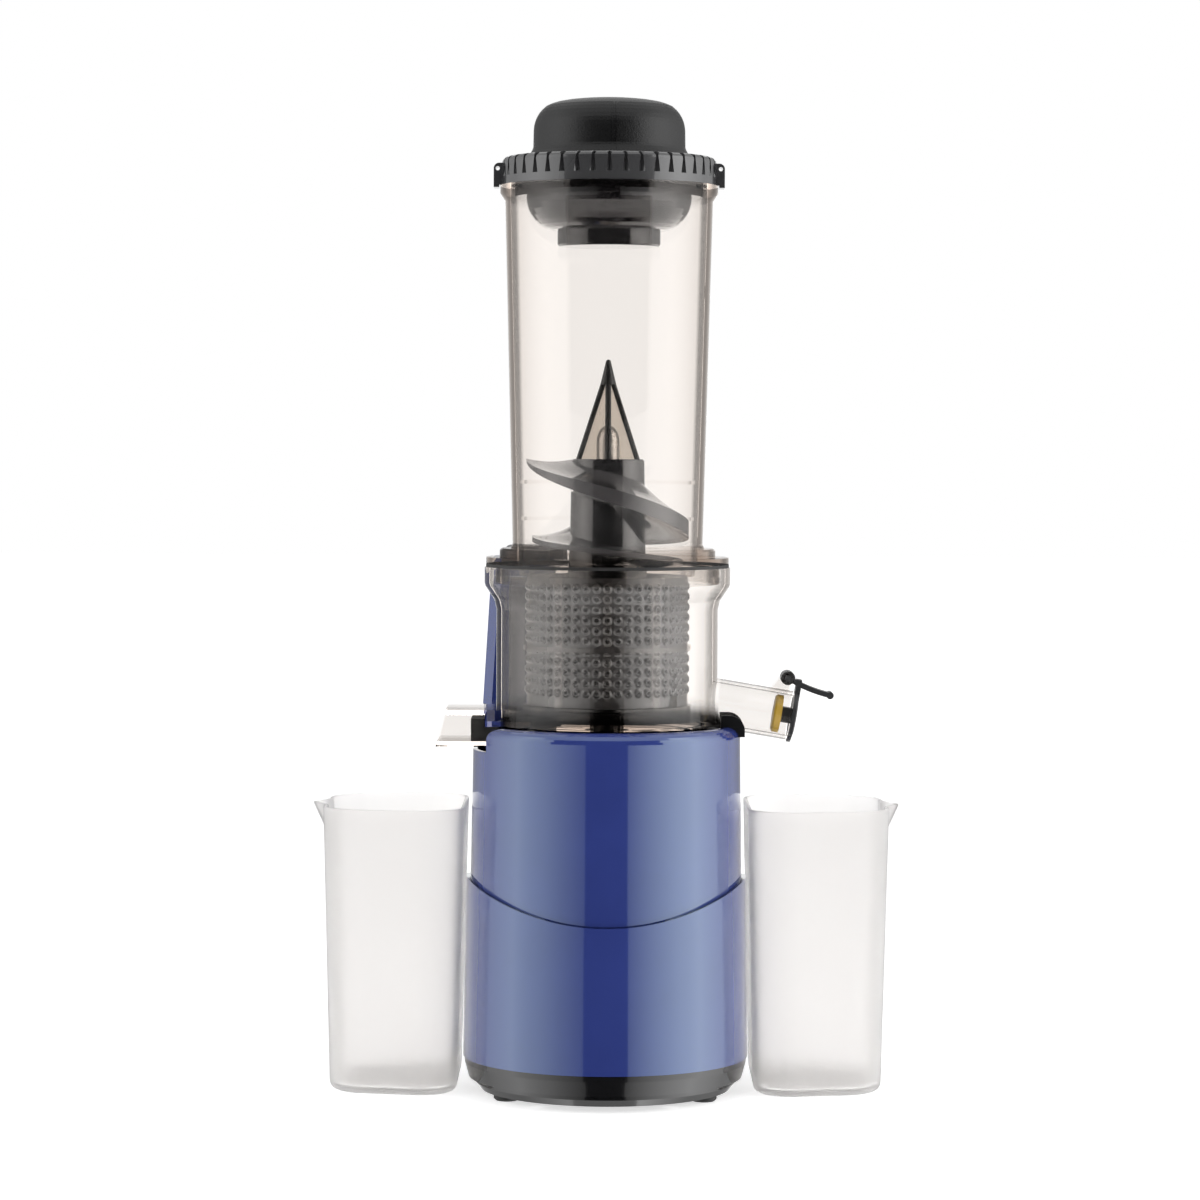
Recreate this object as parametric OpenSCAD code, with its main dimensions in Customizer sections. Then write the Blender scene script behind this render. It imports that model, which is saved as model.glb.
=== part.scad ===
// Cold press juicer: a vertical machine with a feed tube, a screw, a strainer, a clear bowl and two cups.
// Millimetres. +Z is up, +X points to the juice spout, -Y is the front.
// The origin is in the plane of the table, under the middle of the outline. The screw's axis stands in
// front of it.

/* [Bowl] */
// Outer radius of the bowl's wall
bowl_r = 48.3; // [47.8:0.1:49]
// Flare of the bowl's collar over its wall
collar_flare = 5.3; // [5:0.1:6]
// Height of the bowl's collar over the body
bowl_rise = 68.7; // [67:0.1:71]
// Wall of the bowl
bowl_wall = 2.3; // [1.8:0.1:2.6]
// Outer radius of the juice spout
spout_r = 10.8; // [10:0.1:11.2]
// Downward tilt of the juice spout
spout_tilt = 9.5; // [5:0.5:12]
// Reach of the pulp chute past the bowl's wall
chute_out = 25.7; // [22:0.1:31]
// Outer width of the pulp chute
chute_w = 38; // [34:0.5:40]
// Outer height of the pulp chute
chute_h = 15.9; // [14:0.1:17]

/* [Blue body] */
// Reach of the body's foot past the bowl's wall
body_over = 14; // [13:0.1:17]
// Draft of the lower shell from the base to its wavy top edge
skirt_draft = 1.3; // [0.9:0.1:1.9]
// Step in from the lower shell to the upper one
seam_step = 1.8; // [1.4:0.1:2.2]
// Draft of the upper shell
upper_draft = 0.8; // [0.4:0.1:1.2]
// Height of the line between the black base and the blue body
base_line_z = 16.6; // [15:0.1:19]
// Height of the body's top edge
body_top_z = 161.3; // [159:0.1:164]
// Height of the wave seam at the two sides
seam_side_z = 95.8; // [92:0.1:100]
// Drop of the wave seam from the sides to the front
seam_drop = 16.2; // [10:0.1:20]
// Wall of the blue shells
shell_wall = 2.4; // [2:0.1:2.6]
// Radius of the rounded shoulder
shoulder_r = 4.8; // [3.5:0.1:5.2]

/* [Black base] */
// Width of the base's step under the body
base_step = 2.4; // [1.6:0.1:3.4]
// Setback of the base's underside from the body
base_setback = 7.3; // [6:0.1:9]
// Height of the underside over the table
base_lift = 2.6; // [2:0.1:4]
// Radius of a rubber foot
foot_r = 5.7; // [4.5:0.1:6.5]

/* [Feed tube] */
// Setback of the tube's foot from the bowl's wall
tube_setback = 6.9; // [6.2:0.1:7.6]
// Flare of the tube from its foot to its rim
tube_flare = 3.7; // [2.6:0.1:4.2]
// Wall of the tube
tube_wall = 2.4; // [2:0.1:2.8]
// Height of the tube's rim over the bowl's collar
tube_h = 165.4; // [140:0.1:180]

/* [Pusher] */
// Setback of the knob's straight side from the knurled ring
knob_setback = 13.7; // [12.5:0.1:15]
// Height of the knob over the ring
knob_h = 25.2; // [22:0.1:30]
// Height of the knurled ring
ring_h = 12.1; // [10:0.1:14]
// Number of grooves round the ring
knurl_count = 42; // [30:1:48]

/* [Screw and strainer] */
// Room between the bowl's wall and the strainer's screen
strainer_room = 13.3; // [12.4:0.1:13.5]
// Clearance of the screw's flights in the screen
flight_gap = 1.1; // [0.6:0.1:1.7]
// Radius of the screw's hub at its top
hub_top_r = 15.9; // [14.5:0.1:17]
// Height of the hub's top face over the bowl's collar
hub_rise = 47; // [42:0.1:52]
// Height of the pointed tip over the hub
tip_h = 43.5; // [36:0.1:50]
// Pitch of the lower flights
flight_pitch = 21; // [18:0.5:24]

/* [Gears] */
// Gear module
gear_module = 0.8; // [0.76:0.02:0.8]
// Teeth of the motor pinion
pinion_teeth = 16; // [16:2:18]
// Teeth of the large idler gear
idler_teeth = 50; // [50:2:52]
// Teeth of the small idler gear
step_teeth = 18; // [18:2:20]

/* [Cups] */
// Outer width of a cup at its rim
cup_w = 62.4; // [58:0.1:63]
// Outer depth of a cup at its rim
cup_d = 92; // [80:0.5:96]
// Draft of a cup's side from the rim to the foot
cup_draft = 3; // [1:0.1:4]
// Height of a cup
cup_h = 124.6; // [110:0.1:130]
// Wall of a cup
cup_wall = 1.8; // [1.4:0.1:2.4]
// How far a cup stands off the body's widest line
cup_off = -0.5; // [-0.5:0.1:16]

/* [Carrying handle] */
// Width of the handle over its step
handle_w = 33; // [28:0.5:36]
// Taper of the handle's width towards its top
handle_taper = 9; // [4:0.1:12]
// Reach of the handle past the body's foot
handle_out = 32.7; // [28:0.1:38]
// Angle of the handle to the left of straight back
handle_turn = 26; // [22:1:30]

/* [Hidden] */
$fn = 96;

// One whole turn
turn = 360;
// Overrun of a cut past the face it opens
cut = 1;
// Gap between fixed pieces that slip into each other
slip = 0.15;
// Gap between pieces that move past each other
run_gap = 0.35;
// Radial clearance of a pin or shaft in its bore
fit = 0.05;
// Small edge break
edge = 0.8;

// Main radii, from the bowl outwards
body_foot_r = bowl_r + body_over;
skirt_top_r = body_foot_r - skirt_draft;
upper_foot_r = skirt_top_r - seam_step;
upper_top_r = upper_foot_r - upper_draft;
collar_r = bowl_r + collar_flare;
tube_foot_r = bowl_r - tube_setback;
tube_rim_r = tube_foot_r + tube_flare;
screen_r = bowl_r - strainer_room;

// Main heights, from the body upwards
collar_top_z = body_top_z + bowl_rise;
tube_rim_z = collar_top_z + tube_h;
hub_top_z = collar_top_z + hub_rise;

// Feet: setback and spread of the two pairs, height and the recess that holds each
foot_setback = 19.8;
foot_x = body_foot_r - foot_setback;
foot_y = 23.5;
foot_sunk = 2.4;
foot_h = base_lift + foot_sunk;
foot_chamfer = 1;

// Base plate: lower dish, upper step and floor
base_step_r = body_foot_r - base_step;
base_under_r = body_foot_r - base_setback;
base_dish = 2.2;
base_dish_r = base_under_r + base_dish;
base_dish_h = 3;
base_dish_z = base_lift + base_dish_h;
base_neck_h = 2;
base_step_z = base_dish_z + base_neck_h;
base_floor = 2.4;
base_floor_z = foot_h + base_floor;
base_wall = 2.6;
base_groove = 0.7;
vent_count = 7;
vent_w = 2.6;
vent_l = 26;
vent_pitch = 6;

// Wave seam: arc of a cylinder that lies along Y
seam_r = (pow(skirt_top_r, 2) + pow(seam_drop, 2)) / (2 * seam_drop);
seam_mid_z = seam_side_z - seam_drop + seam_r;
seam_gap = 0.5;

// Shells
lap_r = skirt_top_r - shell_wall - slip;
lap_wall = 2;
lap_z = seam_side_z - seam_drop - 2 * shoulder_r;
upper_in_r = lap_r - lap_wall;
lip_r = upper_top_r - shoulder_r;
ledge_z = body_top_z - shoulder_r - edge;
ledge_h = 2.4;

// Posts that carry the gearbox plate
post_r = 4.6;
post_room = 4;
post_ring_r = skirt_top_r - shell_wall - post_r - post_room;
post_angles = [55, 125, 235, 305];
screw_r = 1.5;
screw_head_r = 2.9;
screw_head_h = 1.8;
screw_bite = 9;

// Side notches of the upper shell
saddle_side = 1.6;
chute_notch_w = 54;
chute_notch_h = 10.5;
chute_notch_z = body_top_z - chute_notch_h;
spout_notch_w = 2 * (spout_r + slip + saddle_side + slip);
spout_notch_h = 4.7;
spout_notch_z = body_top_z - spout_notch_h;
notch_round_r = 4.8;

// Top deck
deck_top_z = body_top_z - edge - shell_wall / 2;
deck_t = 2.6;
well_wall = 2.2;
well_depth = 11.7;
well_floor_z = body_top_z - well_depth;
deck_r = upper_in_r - slip;
saddle_w = 2 * (spout_r + slip + saddle_side);
saddle_gap = 1.3;
saddle_in_x = bowl_r + saddle_gap;
saddle_proud = 0.7;
saddle_out_x = upper_foot_r + saddle_proud;
saddle_z = spout_notch_z + slip;
saddle_top_z = body_top_z + spout_notch_h;
saddle_round = 6.5;

// Motor
motor_r = 31;
fan_room = 10.4;
motor_foot_z = base_floor_z + fan_room;
motor_h = 60.2;
motor_top_z = motor_foot_z + motor_h;
motor_wall = 1.4;
magnet_r = motor_r - motor_wall - slip;
magnet_t = 6.4;
magnet_in_r = magnet_r - magnet_t;
rotor_gap = 1;
rotor_r = magnet_in_r - rotor_gap;
magnet_angle = 150;
motor_cap_t = 3;
motor_shaft_r = 2.5;
fan_r = 24;
fan_h = 6.4;
fan_blades = 11;
fan_blade_t = 1.4;
seat_rim = 1.8;
seat_ring_r = motor_r + seat_rim;
fan_gap = 2.4;
seat_ring_in_r = fan_r + fan_gap;

// Gearbox
plate_z = motor_top_z + motor_cap_t;
plate_t = 3;
plate_gap = 1.4;
plate_r = upper_in_r - plate_gap;
gear_a = gear_module * (pinion_teeth + idler_teeth) / 2;
output_teeth = pinion_teeth + idler_teeth - step_teeth;
addendum = 0.9;
dedendum = 1.2;
pressure = 20;
tooth_gap = 0.07;
gear_face = 7;
gear_room_h = 3;
gear_z1 = plate_z + plate_t + gear_room_h;
gear_lift = 2;
gear_z2 = gear_z1 + gear_face + gear_lift;
cover_wall = 2.2;
cover_room = 1.4;
cover_head = 2.4;
cover_top_z = gear_z2 + gear_face + cover_head;
cover_t = 3;
idler_pin_r = 2;
idler_hub_r = 5;
boss_r = 14;
bearing_r = 11;
bearing_race = 2;
bearing_h = 7;
bearing_z1 = cover_top_z + cover_t - edge;
boss_top_z = bearing_z1 + bearing_h + gear_lift;
bearing_z2 = well_floor_z - deck_t - bearing_h - edge;
ear_r = 5;
ear_ring_r = 31;
ear_angles = [75, 180, 285];

// Drive shaft
shaft_r = 5;
hex_flat = 9.8;
hex_gap = 0.1;
hex_lift = 6;
hex_z = well_floor_z + hex_lift;
seal_r = 10;
seal_h = 3.6;

// Control board
board_gap = 8.85;
board_w = 40;
board_h = 38;
board_t = 1.6;
board_x = board_gap - upper_in_r;
cap_body_r = 5;
relay_w = 14;
relay_h = 12;
relay_d = 9;

// Rocker switch and cord gland, on the rear
switch_z = 46;
switch_w = 21;
switch_h = 15;
switch_depth = 14;
switch_flange = 2.2;
switch_flange_t = 1.8;
rocker_r = 6;
rocker_sunk = 4.6;
rocker_valley = 0.9;
rocker_gap = 0.45;
rocker_pin_r = 1.1;
gland_z = 26;
gland_angle = 112;
gland_r = 7;
gland_bore_r = 3.6;
gland_l = 9;
gland_flange_r = 9;
gland_flange_t = 2;
switch_proud = 1.6;
switch_face_y = skirt_top_r + switch_proud;

// Bowl: foot, floor, neck, collar and the spigot that centres it in the deck's well
seat_gap = 0.2;
bowl_foot_z = body_top_z + seat_gap;
bowl_floor_t = 2.6;
bowl_floor_z = bowl_foot_z + bowl_floor_t;
bowl_band_h = 6;
bowl_band_z = bowl_foot_z + bowl_band_h;
bowl_band = 0.5;
neck_h = 11.4;
collar_h = 7;
collar_z = collar_top_z - collar_h;
bowl_neck_z = collar_z - neck_h;
collar_wall = 2.4;
spigot_setback = 5.7;
spigot_r = bowl_r - spigot_setback;
spigot_wall = 2.4;
spigot_gap = 1.4;
spigot_z = well_floor_z + spigot_gap;
well_r = spigot_r + spigot_gap;
sleeve_bore_r = 7.4;
sleeve_r = 9.6;
sleeve_h = 6.9;
sleeve_top_z = bowl_floor_z + sleeve_h;
lug_count = 3;
lug_angle = 26;
lug_turn = 90;
lug_play = 2;
lug_h = 2.6;
lug_depth = 2;
lug_z = collar_top_z - lug_h - edge;
neck_r_shares = [0, 0.17, 0.5, 0.93, 1];
neck_z_shares = [0, 0.35, 0.58, 0.88, 1];

// Pulp chute, its drop hole and plug
chute_reach = bowl_r + chute_out;
chute_wall = 2.2;
chute_rise = 7.2;
chute_top_z = body_top_z + chute_rise;
chute_z = chute_top_z - chute_h;
chute_slant = 4;
chute_in_x = 22;
drop_angle = 50;
plug_setback = 15.2;
plug_out_x = chute_reach - plug_setback;
plug_in_x = bowl_r - bowl_wall - edge / 2;
plug_rise = 3.3;
plug_top_z = body_top_z + plug_rise;

// Juice spout
spout_wall = 1.5;
spout_sunk = 4.3;
spout_from_x = bowl_r - spout_sunk;
spout_rise = 10.2;
spout_from_z = body_top_z + spout_rise;
spout_l = 36.4;

// Strainer
screen_t = 0.9;
screen_lift = 5.9;
screen_z = bowl_floor_z + screen_lift;
screen_cols = 20;
screen_rows = 8;
screen_hole_r = 1.1;
frame_rim_h = 3.4;
frame_rim_r = screen_r + frame_rim_h;
frame_rib_angle = 5.6;
frame_rib_d = 1.6;
frame_ribs = 10;
frame_band_lift = 24;
frame_band_z = screen_z + frame_band_lift;
frame_band_h = 2.2;

// Screw
flight_r = screen_r - screen_t - flight_gap;
hub_low_r = 22;
hub_mid_r = 16.6;
hub_mid_rise = 6;
hub_mid_z = collar_top_z + hub_mid_rise;
hub_foot_gap = 3;
hub_foot_z = bowl_floor_z + hub_foot_gap;
bush_r = 8;
bush_lift = 1;
bush_z = sleeve_top_z + bush_lift;
bush_h = 22;
hex_drop = 1;
hex_top_z = bush_z + bush_h - hex_drop;
blade_gap = 3.4;
blade_r = tube_foot_r - tube_wall - blade_gap;
blade_drop = 40;
root_top_shares = [0, 0.12, 0.27, 0.5, 0.78];
root_low_shares = [0.36, 0.48, 0.62, 0.84, 1];
rim_top_shares = [0, 0.3, 0.69, 0.84, 0.9];
rim_low_shares = [0.015, 0.45, 0.86, 0.96, 0.97];
rim_r_shares = [1, 0.6, 0.95, 0.4, 0];
flight_steps = 24;
flight_turns = 2.6;
flight_root_t = 4.4;
flight_rim_t = 2.2;
root_sink = 1.5;
tip_base_r = 13.9;
tip_rib = 2.6;
tip_solid_share = 0.24;
panel_t = 0.8;
panel_inset = 0.7;
bullet_r = 5;
bullet_h = 14.8;

// Spout cap: its hinge stands over the spout's end, and its seal sits inside the spout
seal_ring_gap = 1;
seal_ring_r = spout_r - spout_wall - seal_ring_gap;
seal_ring_t = 3.4;
seal_taper = 0.8;
seal_sunk = 4;
seal_s = spout_l - seal_sunk;
cap_rim = 0.7;
cap_disc_r = spout_r + cap_rim;
cap_disc_t = 2.2;
cap_dome = 0.7;
cap_flat_share = 0.7;
stem_w = 6.6;
hinge_r = 3.1;
hinge_pin_r = 1.3;
hinge_over = 5.4;
hinge_back = 3.8;
ear_t = 2.4;
ear_foot = 8;
barrel_w = 9;
lever_t = 2.2;
lever_l = 20;
lever_end_r = 1.6;
lever_slope = 22.5;
lever_bend_r = 60;

// Lid and hopper
lid_setback = 0.7;
lid_low_r = collar_r - lid_setback;
lid_over = 5.6;
lid_high_r = tube_foot_r + lid_over;
lid_low_t = 4.2;
lid_high_t = 3.8;
lid_z = collar_top_z + slip;
lid_mid_z = lid_z + lid_low_t;
lid_top_z = lid_mid_z + lid_high_t;
lid_groove = 0.9;
skirt_wall = 2.2;
skirt_gap = 0.6;
skirt_r = collar_r - collar_wall - lug_depth - skirt_gap;
skirt_z = collar_z - seat_gap;
lid_seal_r = collar_r - collar_wall / 2;
rim_over = 2.2;
rim_r = tube_rim_r + rim_over;
rim_h = 3.2;
rim_step = 3.4;
inner_rib_d = 1.1;
inner_rib_h = 1.6;
inner_rib_rise = 20;
inner_rib_pitch = 16;
inner_rib_z1 = collar_top_z + inner_rib_rise;
inner_rib_z2 = inner_rib_z1 + inner_rib_pitch;
inner_rib_angle = 60;
inner_rib_turns = [45, 135];
lid_seal_t = 1.2;

// Pusher: ring, knob and plunger
ring_z = tube_rim_z + slip;
ring_top_z = ring_z + ring_h;
ring_r = rim_r - lid_setback;
ring_round = 2.6;
groove_depth = 1.2;
groove_w = 2;
groove_h = 8.6;
knob_r = ring_r - knob_setback;
knob_flare = 3.1;
knob_flare_h = 5.6;
knob_top_z = ring_top_z + knob_h;
knob_r_shares = [1, 0.993, 0.98, 0.957, 0.925, 0.886, 0.835, 0.775, 0.7, 0.59, 0.485, 0.41];
knob_z_shares = [0.474, 0.55, 0.617, 0.69, 0.76, 0.82, 0.879, 0.915, 0.946, 0.973, 0.99, 1];
knob_rib_points = 7;
knob_spigot_in = 2.9;
knob_spigot_r = knob_r - knob_spigot_in;
knob_rib_d = 0.35;
knob_rib_angle = 0.9;
knob_rib_apart = 1.6;
knob_rib_turns = [93.8, 273.8];
side_lug_w = 11;
side_lug_t = 2.4;
side_lug_h = 10.5;
side_lug_round = 2.4;
side_lug_hole_r = 0.9;
plunger_gap = 9.1;
plunger_r = tube_rim_r - plunger_gap;
plunger_low_r = 22.4;
plunger_dome_h = 14.5;
plunger_h = 21.4;
plunger_plug_gap = 1.7;
plunger_plug_r = tube_rim_r - tube_wall - plunger_plug_gap;
plunger_plug_h = 5;

// Cup: place behind the machine's axis, corner radii and the narrower outer side
cup_x = body_foot_r + cup_w / 2 + cup_off;
cup_y = 27;
cup_inner_r = 19;
cup_outer_r = 22;
cup_narrow = 4;
cup_floor = 2.6;
cup_corner = 3.6;
cup_lip_reach = 6;
cup_lip_drop = 14;
cup_lip_w = 26;
cup_foot_recess = 0.8;

// Handle
handle_reach = body_foot_r + handle_out;
handle_rise = 7.8;
handle_top_z = collar_top_z + handle_rise;
handle_drop = 53.3;
handle_root_z = body_top_z - handle_drop;
handle_t = 9.6;
handle_cap_l = 16;
handle_bend_r = 24;
liner_t = 2.2;
handle_hook_gap = 13.1;
handle_hook_x = lid_low_r + handle_hook_gap;
handle_round = 3.6;
handle_root_h = 24;
handle_step = 1.6;
handle_step_rise = 3.6;
handle_step_z = body_top_z + handle_step_rise;
handle_top_w = handle_w - handle_taper;

// Place of the machine's axis: the body's front and the handle's rear reach equally far from the origin
rear_y = handle_reach * cos(handle_turn) + handle_w / 2 * sin(handle_turn);
axis_y = (body_foot_r - rear_y) / 2;

// Points of an arc about (cx, cy), from angle a0 to a1
function arc(cx, cy, r, a0, a1, n = 8) =
    [for (i = [0:n]) [cx + r * cos(a0 + (a1 - a0) * i / n), cy + r * sin(a0 + (a1 - a0) * i / n)]];

// Involute of the angle a, in degrees
function inv(a) = tan(a) * 180 / PI - a;

// Half of a tooth's angle at radius r, on a gear with that many teeth
function half_tooth(teeth, r) =
    let (base = gear_module * teeth / 2 * cos(pressure), a = r > base ? acos(base / r) : 0)
    90 / teeth + inv(pressure) - inv(a) - tooth_gap / r * 180 / PI;

// Outline of a spur gear, with a tooth on +X
function gear_outline(teeth) =
    let (pitch_r = gear_module * teeth / 2,
         root = pitch_r - dedendum * gear_module,
         tip = pitch_r + addendum * gear_module,
         radii = [for (i = [0:3]) root + (tip - root) * i / 3])
    [for (k = [0:teeth - 1]) each concat(
        [for (i = [0:3]) let (a = turn * k / teeth - half_tooth(teeth, radii[i]))
            radii[i] * [cos(a), sin(a)]],
        [for (i = [3:-1:0]) let (a = turn * k / teeth + half_tooth(teeth, radii[i]))
            radii[i] * [cos(a), sin(a)]])];

// Puts the machine into the part's frame, whose origin is under the middle of the whole outline
module in_frame() {
    translate([0, axis_y, 0]) children();
}

// Hollow cylinder between two heights
module ring(r_out, r_in, z0, z1) {
    translate([0, 0, z0]) difference() {
        cylinder(r = r_out, h = z1 - z0);
        translate([0, 0, -cut]) cylinder(r = r_in, h = z1 - z0 + 2 * cut);
    }
}

// Solid of revolution from (radius, height) points
module lathe(points) {
    rotate_extrude() polygon(points);
}

// Sector of a ring, centred on the angle a
module ring_sector(r_out, r_in, z0, z1, a, width) {
    rotate([0, 0, a - width / 2]) translate([0, 0, z0])
        rotate_extrude(angle = width) translate([r_in, 0]) square([r_out - r_in, z1 - z0]);
}

// Box centred in Y, from x0 to x1 and z0 to z1
module slab(x0, x1, w, z0, z1) {
    translate([x0, -w / 2, z0]) cube([x1 - x0, w, z1 - z0]);
}

// Rectangle centred on the origin with round corners
module round_rect(w, h, r) {
    square([w - 2 * r, h], center = true);
    square([w, h - 2 * r], center = true);
    for (x = [-1, 1], y = [-1, 1]) translate([x * (w / 2 - r), y * (h / 2 - r)]) circle(r = r);
}

// Puts its children in the spout's frame: +Z runs out along the tilted spout
module in_spout() {
    translate([spout_from_x, 0, spout_from_z]) rotate([0, 90 + spout_tilt, 0]) children();
}

// All that lies under the wave seam, moved down by a gap
module under_wave(gap) {
    difference() {
        translate([0, 0, base_line_z])
            cylinder(r = body_foot_r + cut, h = seam_side_z + shoulder_r - base_line_z);
        translate([0, body_foot_r + 2 * cut, seam_mid_z - gap]) rotate([90, 0, 0])
            cylinder(r = seam_r, h = 2 * body_foot_r + 4 * cut, $fn = 180);
    }
}

module rubber_feet() {
    color([0.08, 0.08, 0.08]) in_frame() for (x = [-foot_x, foot_x], y = [-foot_y, foot_y])
        translate([x, y, 0])
        lathe([[0, 0], [foot_r - foot_chamfer, 0], [foot_r, foot_chamfer], [foot_r, foot_h], [0, foot_h]]);
}

module base_plate() {
    color([0.1, 0.1, 0.1]) in_frame() difference() {
        lathe([[0, base_lift], [base_under_r, base_lift], [base_dish_r, base_dish_z], [base_dish_r,
            base_step_z],
            [base_step_r, base_step_z], [body_foot_r - base_groove, base_line_z - base_wall],
            [body_foot_r - base_groove, base_line_z], [0, base_line_z]]);
        translate([0, 0, base_floor_z]) cylinder(r = base_dish_r - base_wall, h = base_line_z);
        for (x = [-foot_x, foot_x], y = [-foot_y, foot_y]) translate([x, y, base_lift - cut])
            cylinder(r = foot_r + fit, h = foot_sunk + cut);
        for (i = [0:vent_count - 1]) translate([(i - (vent_count - 1) / 2) * vent_pitch, 0, 0])
            slab(-vent_w / 2, vent_w / 2, vent_l, base_lift - cut, base_floor_z + cut);
        for (a = post_angles) rotate([0, 0, a]) translate([post_ring_r, 0, base_lift - cut]) {
            cylinder(r = screw_r + slip, h = base_floor_z);
            cylinder(r = screw_head_r + slip, h = screw_head_h + cut);
        }
    }
    color([0.1, 0.1, 0.1]) in_frame() difference() {
        ring(seat_ring_r, seat_ring_in_r, base_floor_z, motor_foot_z);
        translate([0, 0, motor_foot_z - motor_wall]) cylinder(r = motor_r + slip, h = motor_wall + cut);
        for (a = [0, 60, 120]) rotate([0, 0, a])
            slab(-seat_ring_r - cut, seat_ring_r + cut, vent_l / 2, base_floor_z,
                motor_foot_z - 2 * base_wall);
    }
    color([0.1, 0.1, 0.1]) in_frame() for (y = [-1, 1])
        translate([0, y * (board_w / 2 - relay_h / 2), 0]) difference() {
        slab(board_x - 2 * base_wall, board_x + 2 * base_wall, relay_h / 2, base_floor_z,
            base_floor_z + relay_h / 2);
        slab(board_x - board_t / 2, board_x + board_t / 2, relay_h, base_floor_z, base_floor_z + relay_h);
    }
}

module base_screws() {
    color([0.7, 0.7, 0.72]) in_frame() for (a = post_angles) rotate([0, 0, a])
        translate([post_ring_r, 0, base_lift]) {
        cylinder(r = screw_head_r, h = screw_head_h);
        cylinder(r = screw_r, h = screw_head_h + screw_bite);
    }
}

module lower_shell() {
    color([0.2, 0.29, 0.6]) in_frame() difference() {
        union() {
            intersection() {
                lathe([[body_foot_r - shell_wall, base_line_z], [body_foot_r, base_line_z],
                    [skirt_top_r, seam_side_z + shoulder_r], [lap_r + slip, seam_side_z + shoulder_r],
                    [lap_r + slip, base_line_z + lap_z / 2]]);
                under_wave(seam_gap);
            }
            for (a = post_angles) rotate([0, 0, a]) {
                translate([post_ring_r, 0, base_floor_z]) cylinder(r = post_r, h = plate_z - base_floor_z);
                slab(post_ring_r, skirt_top_r - edge, post_r, base_line_z + edge, lap_z - edge);
            }
        }
        for (a = post_angles) rotate([0, 0, a]) translate([post_ring_r, 0, 0]) {
            translate([0, 0, base_floor_z - cut]) cylinder(r = screw_r + fit, h = screw_bite + 2 * cut);
            translate([0, 0, plate_z - screw_bite]) cylinder(r = screw_r + fit, h = screw_bite + cut);
        }
        translate([0, switch_face_y, switch_z]) rotate([90, 0, 0]) {
            linear_extrude(height = switch_depth)
                square([switch_w + 2 * slip, switch_h + 2 * slip], center = true);
            translate([0, 0, -cut]) linear_extrude(height = switch_flange_t + cut)
                round_rect(switch_w + 2 * switch_flange + 2 * slip, switch_h + 2 * switch_flange + 2 * slip,
                    switch_flange);
        }
        rotate([0, 0, gland_angle]) translate([lap_r - cut, 0, gland_z]) rotate([0, 90, 0])
            cylinder(r = gland_r + slip, h = shell_wall * 4);
    }
}

module upper_shell() {
    color([0.2, 0.29, 0.6]) in_frame() difference() {
        union() {
            difference() {
                lathe(concat([[upper_in_r, lap_z], [upper_foot_r, lap_z], [upper_foot_r, seam_side_z]],
                    arc(lip_r, body_top_z - shoulder_r, shoulder_r, 0, 90),
                    [[lip_r, body_top_z - shell_wall], [upper_in_r, body_top_z - shoulder_r - edge / 2]]));
                difference() {
                    under_wave(0);
                    translate([0, 0, base_line_z - cut]) cylinder(r = lap_r, h = seam_side_z);
                }
            }
            ring(upper_in_r + edge, lip_r + edge, ledge_z - ledge_h, ledge_z);
        }
        notch(-1, chute_notch_w, chute_notch_z);
        notch(1, spout_notch_w, spout_notch_z);
    }
}

// Opening in the upper shell's side whose upper corners round over into the top edge
module notch(side, w, z0) {
    translate([side > 0 ? upper_foot_r / 2 : -upper_foot_r - cut, 0, 0]) rotate([90, 0, 90])
        linear_extrude(height = upper_foot_r / 2 + cut) {
            translate([-w / 2, z0]) square([w, body_top_z - z0 + cut]);
            for (s = [-1, 1]) difference() {
                translate([s * (w / 2 + notch_round_r / 2) - notch_round_r / 2, body_top_z - notch_round_r])
                    square([notch_round_r, notch_round_r + cut]);
                translate([s * (w / 2 + notch_round_r), body_top_z - notch_round_r])
                    circle(r = notch_round_r);
            }
        }
}

module top_deck() {
    color([0.1, 0.1, 0.11]) in_frame() difference() {
        union() {
            lathe([[0, well_floor_z - deck_t], [well_r + well_wall, well_floor_z - deck_t],
                [well_r + well_wall, ledge_z], [deck_r, ledge_z], [lip_r - edge, deck_top_z],
                [well_r, deck_top_z], [well_r, well_floor_z], [0, well_floor_z]]);
            translate([0, 0, bearing_z2 - edge]) cylinder(r = boss_r, h = well_floor_z - bearing_z2);
            deck_saddle();
        }
        translate([0, 0, bearing_z2 - cut]) cylinder(r = bearing_r, h = bearing_h + cut);
        translate([0, 0, bearing_z2]) cylinder(r = shaft_r + run_gap, h = well_floor_z);
        slab(-upper_foot_r, spigot_wall - spigot_r, chute_notch_w, chute_notch_z, deck_top_z + cut);
        slab(-upper_foot_r, 2 * spigot_wall - spigot_r, chute_w + 2 * run_gap, chute_z - run_gap, deck_top_z);
        in_spout() translate([0, 0, -spout_r]) cylinder(r = spout_r + slip, h = spout_l + spout_r);
    }
}

// Raised saddle of the deck, in the body's right notch, that the spout lies in
module deck_saddle() {
    round_x = saddle_out_x - saddle_round;
    round_z = saddle_top_z - saddle_round;
    rotate([90, 0, 0]) linear_extrude(height = saddle_w, center = true) intersection() {
        translate([saddle_in_x, saddle_z]) square([saddle_out_x - saddle_in_x, saddle_top_z - saddle_z]);
        union() {
            translate([0, saddle_z]) square([saddle_out_x, round_z - saddle_z]);
            translate([0, saddle_z]) square([round_x, saddle_top_z - saddle_z]);
            translate([round_x, round_z]) circle(r = saddle_round);
        }
    }
}

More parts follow.
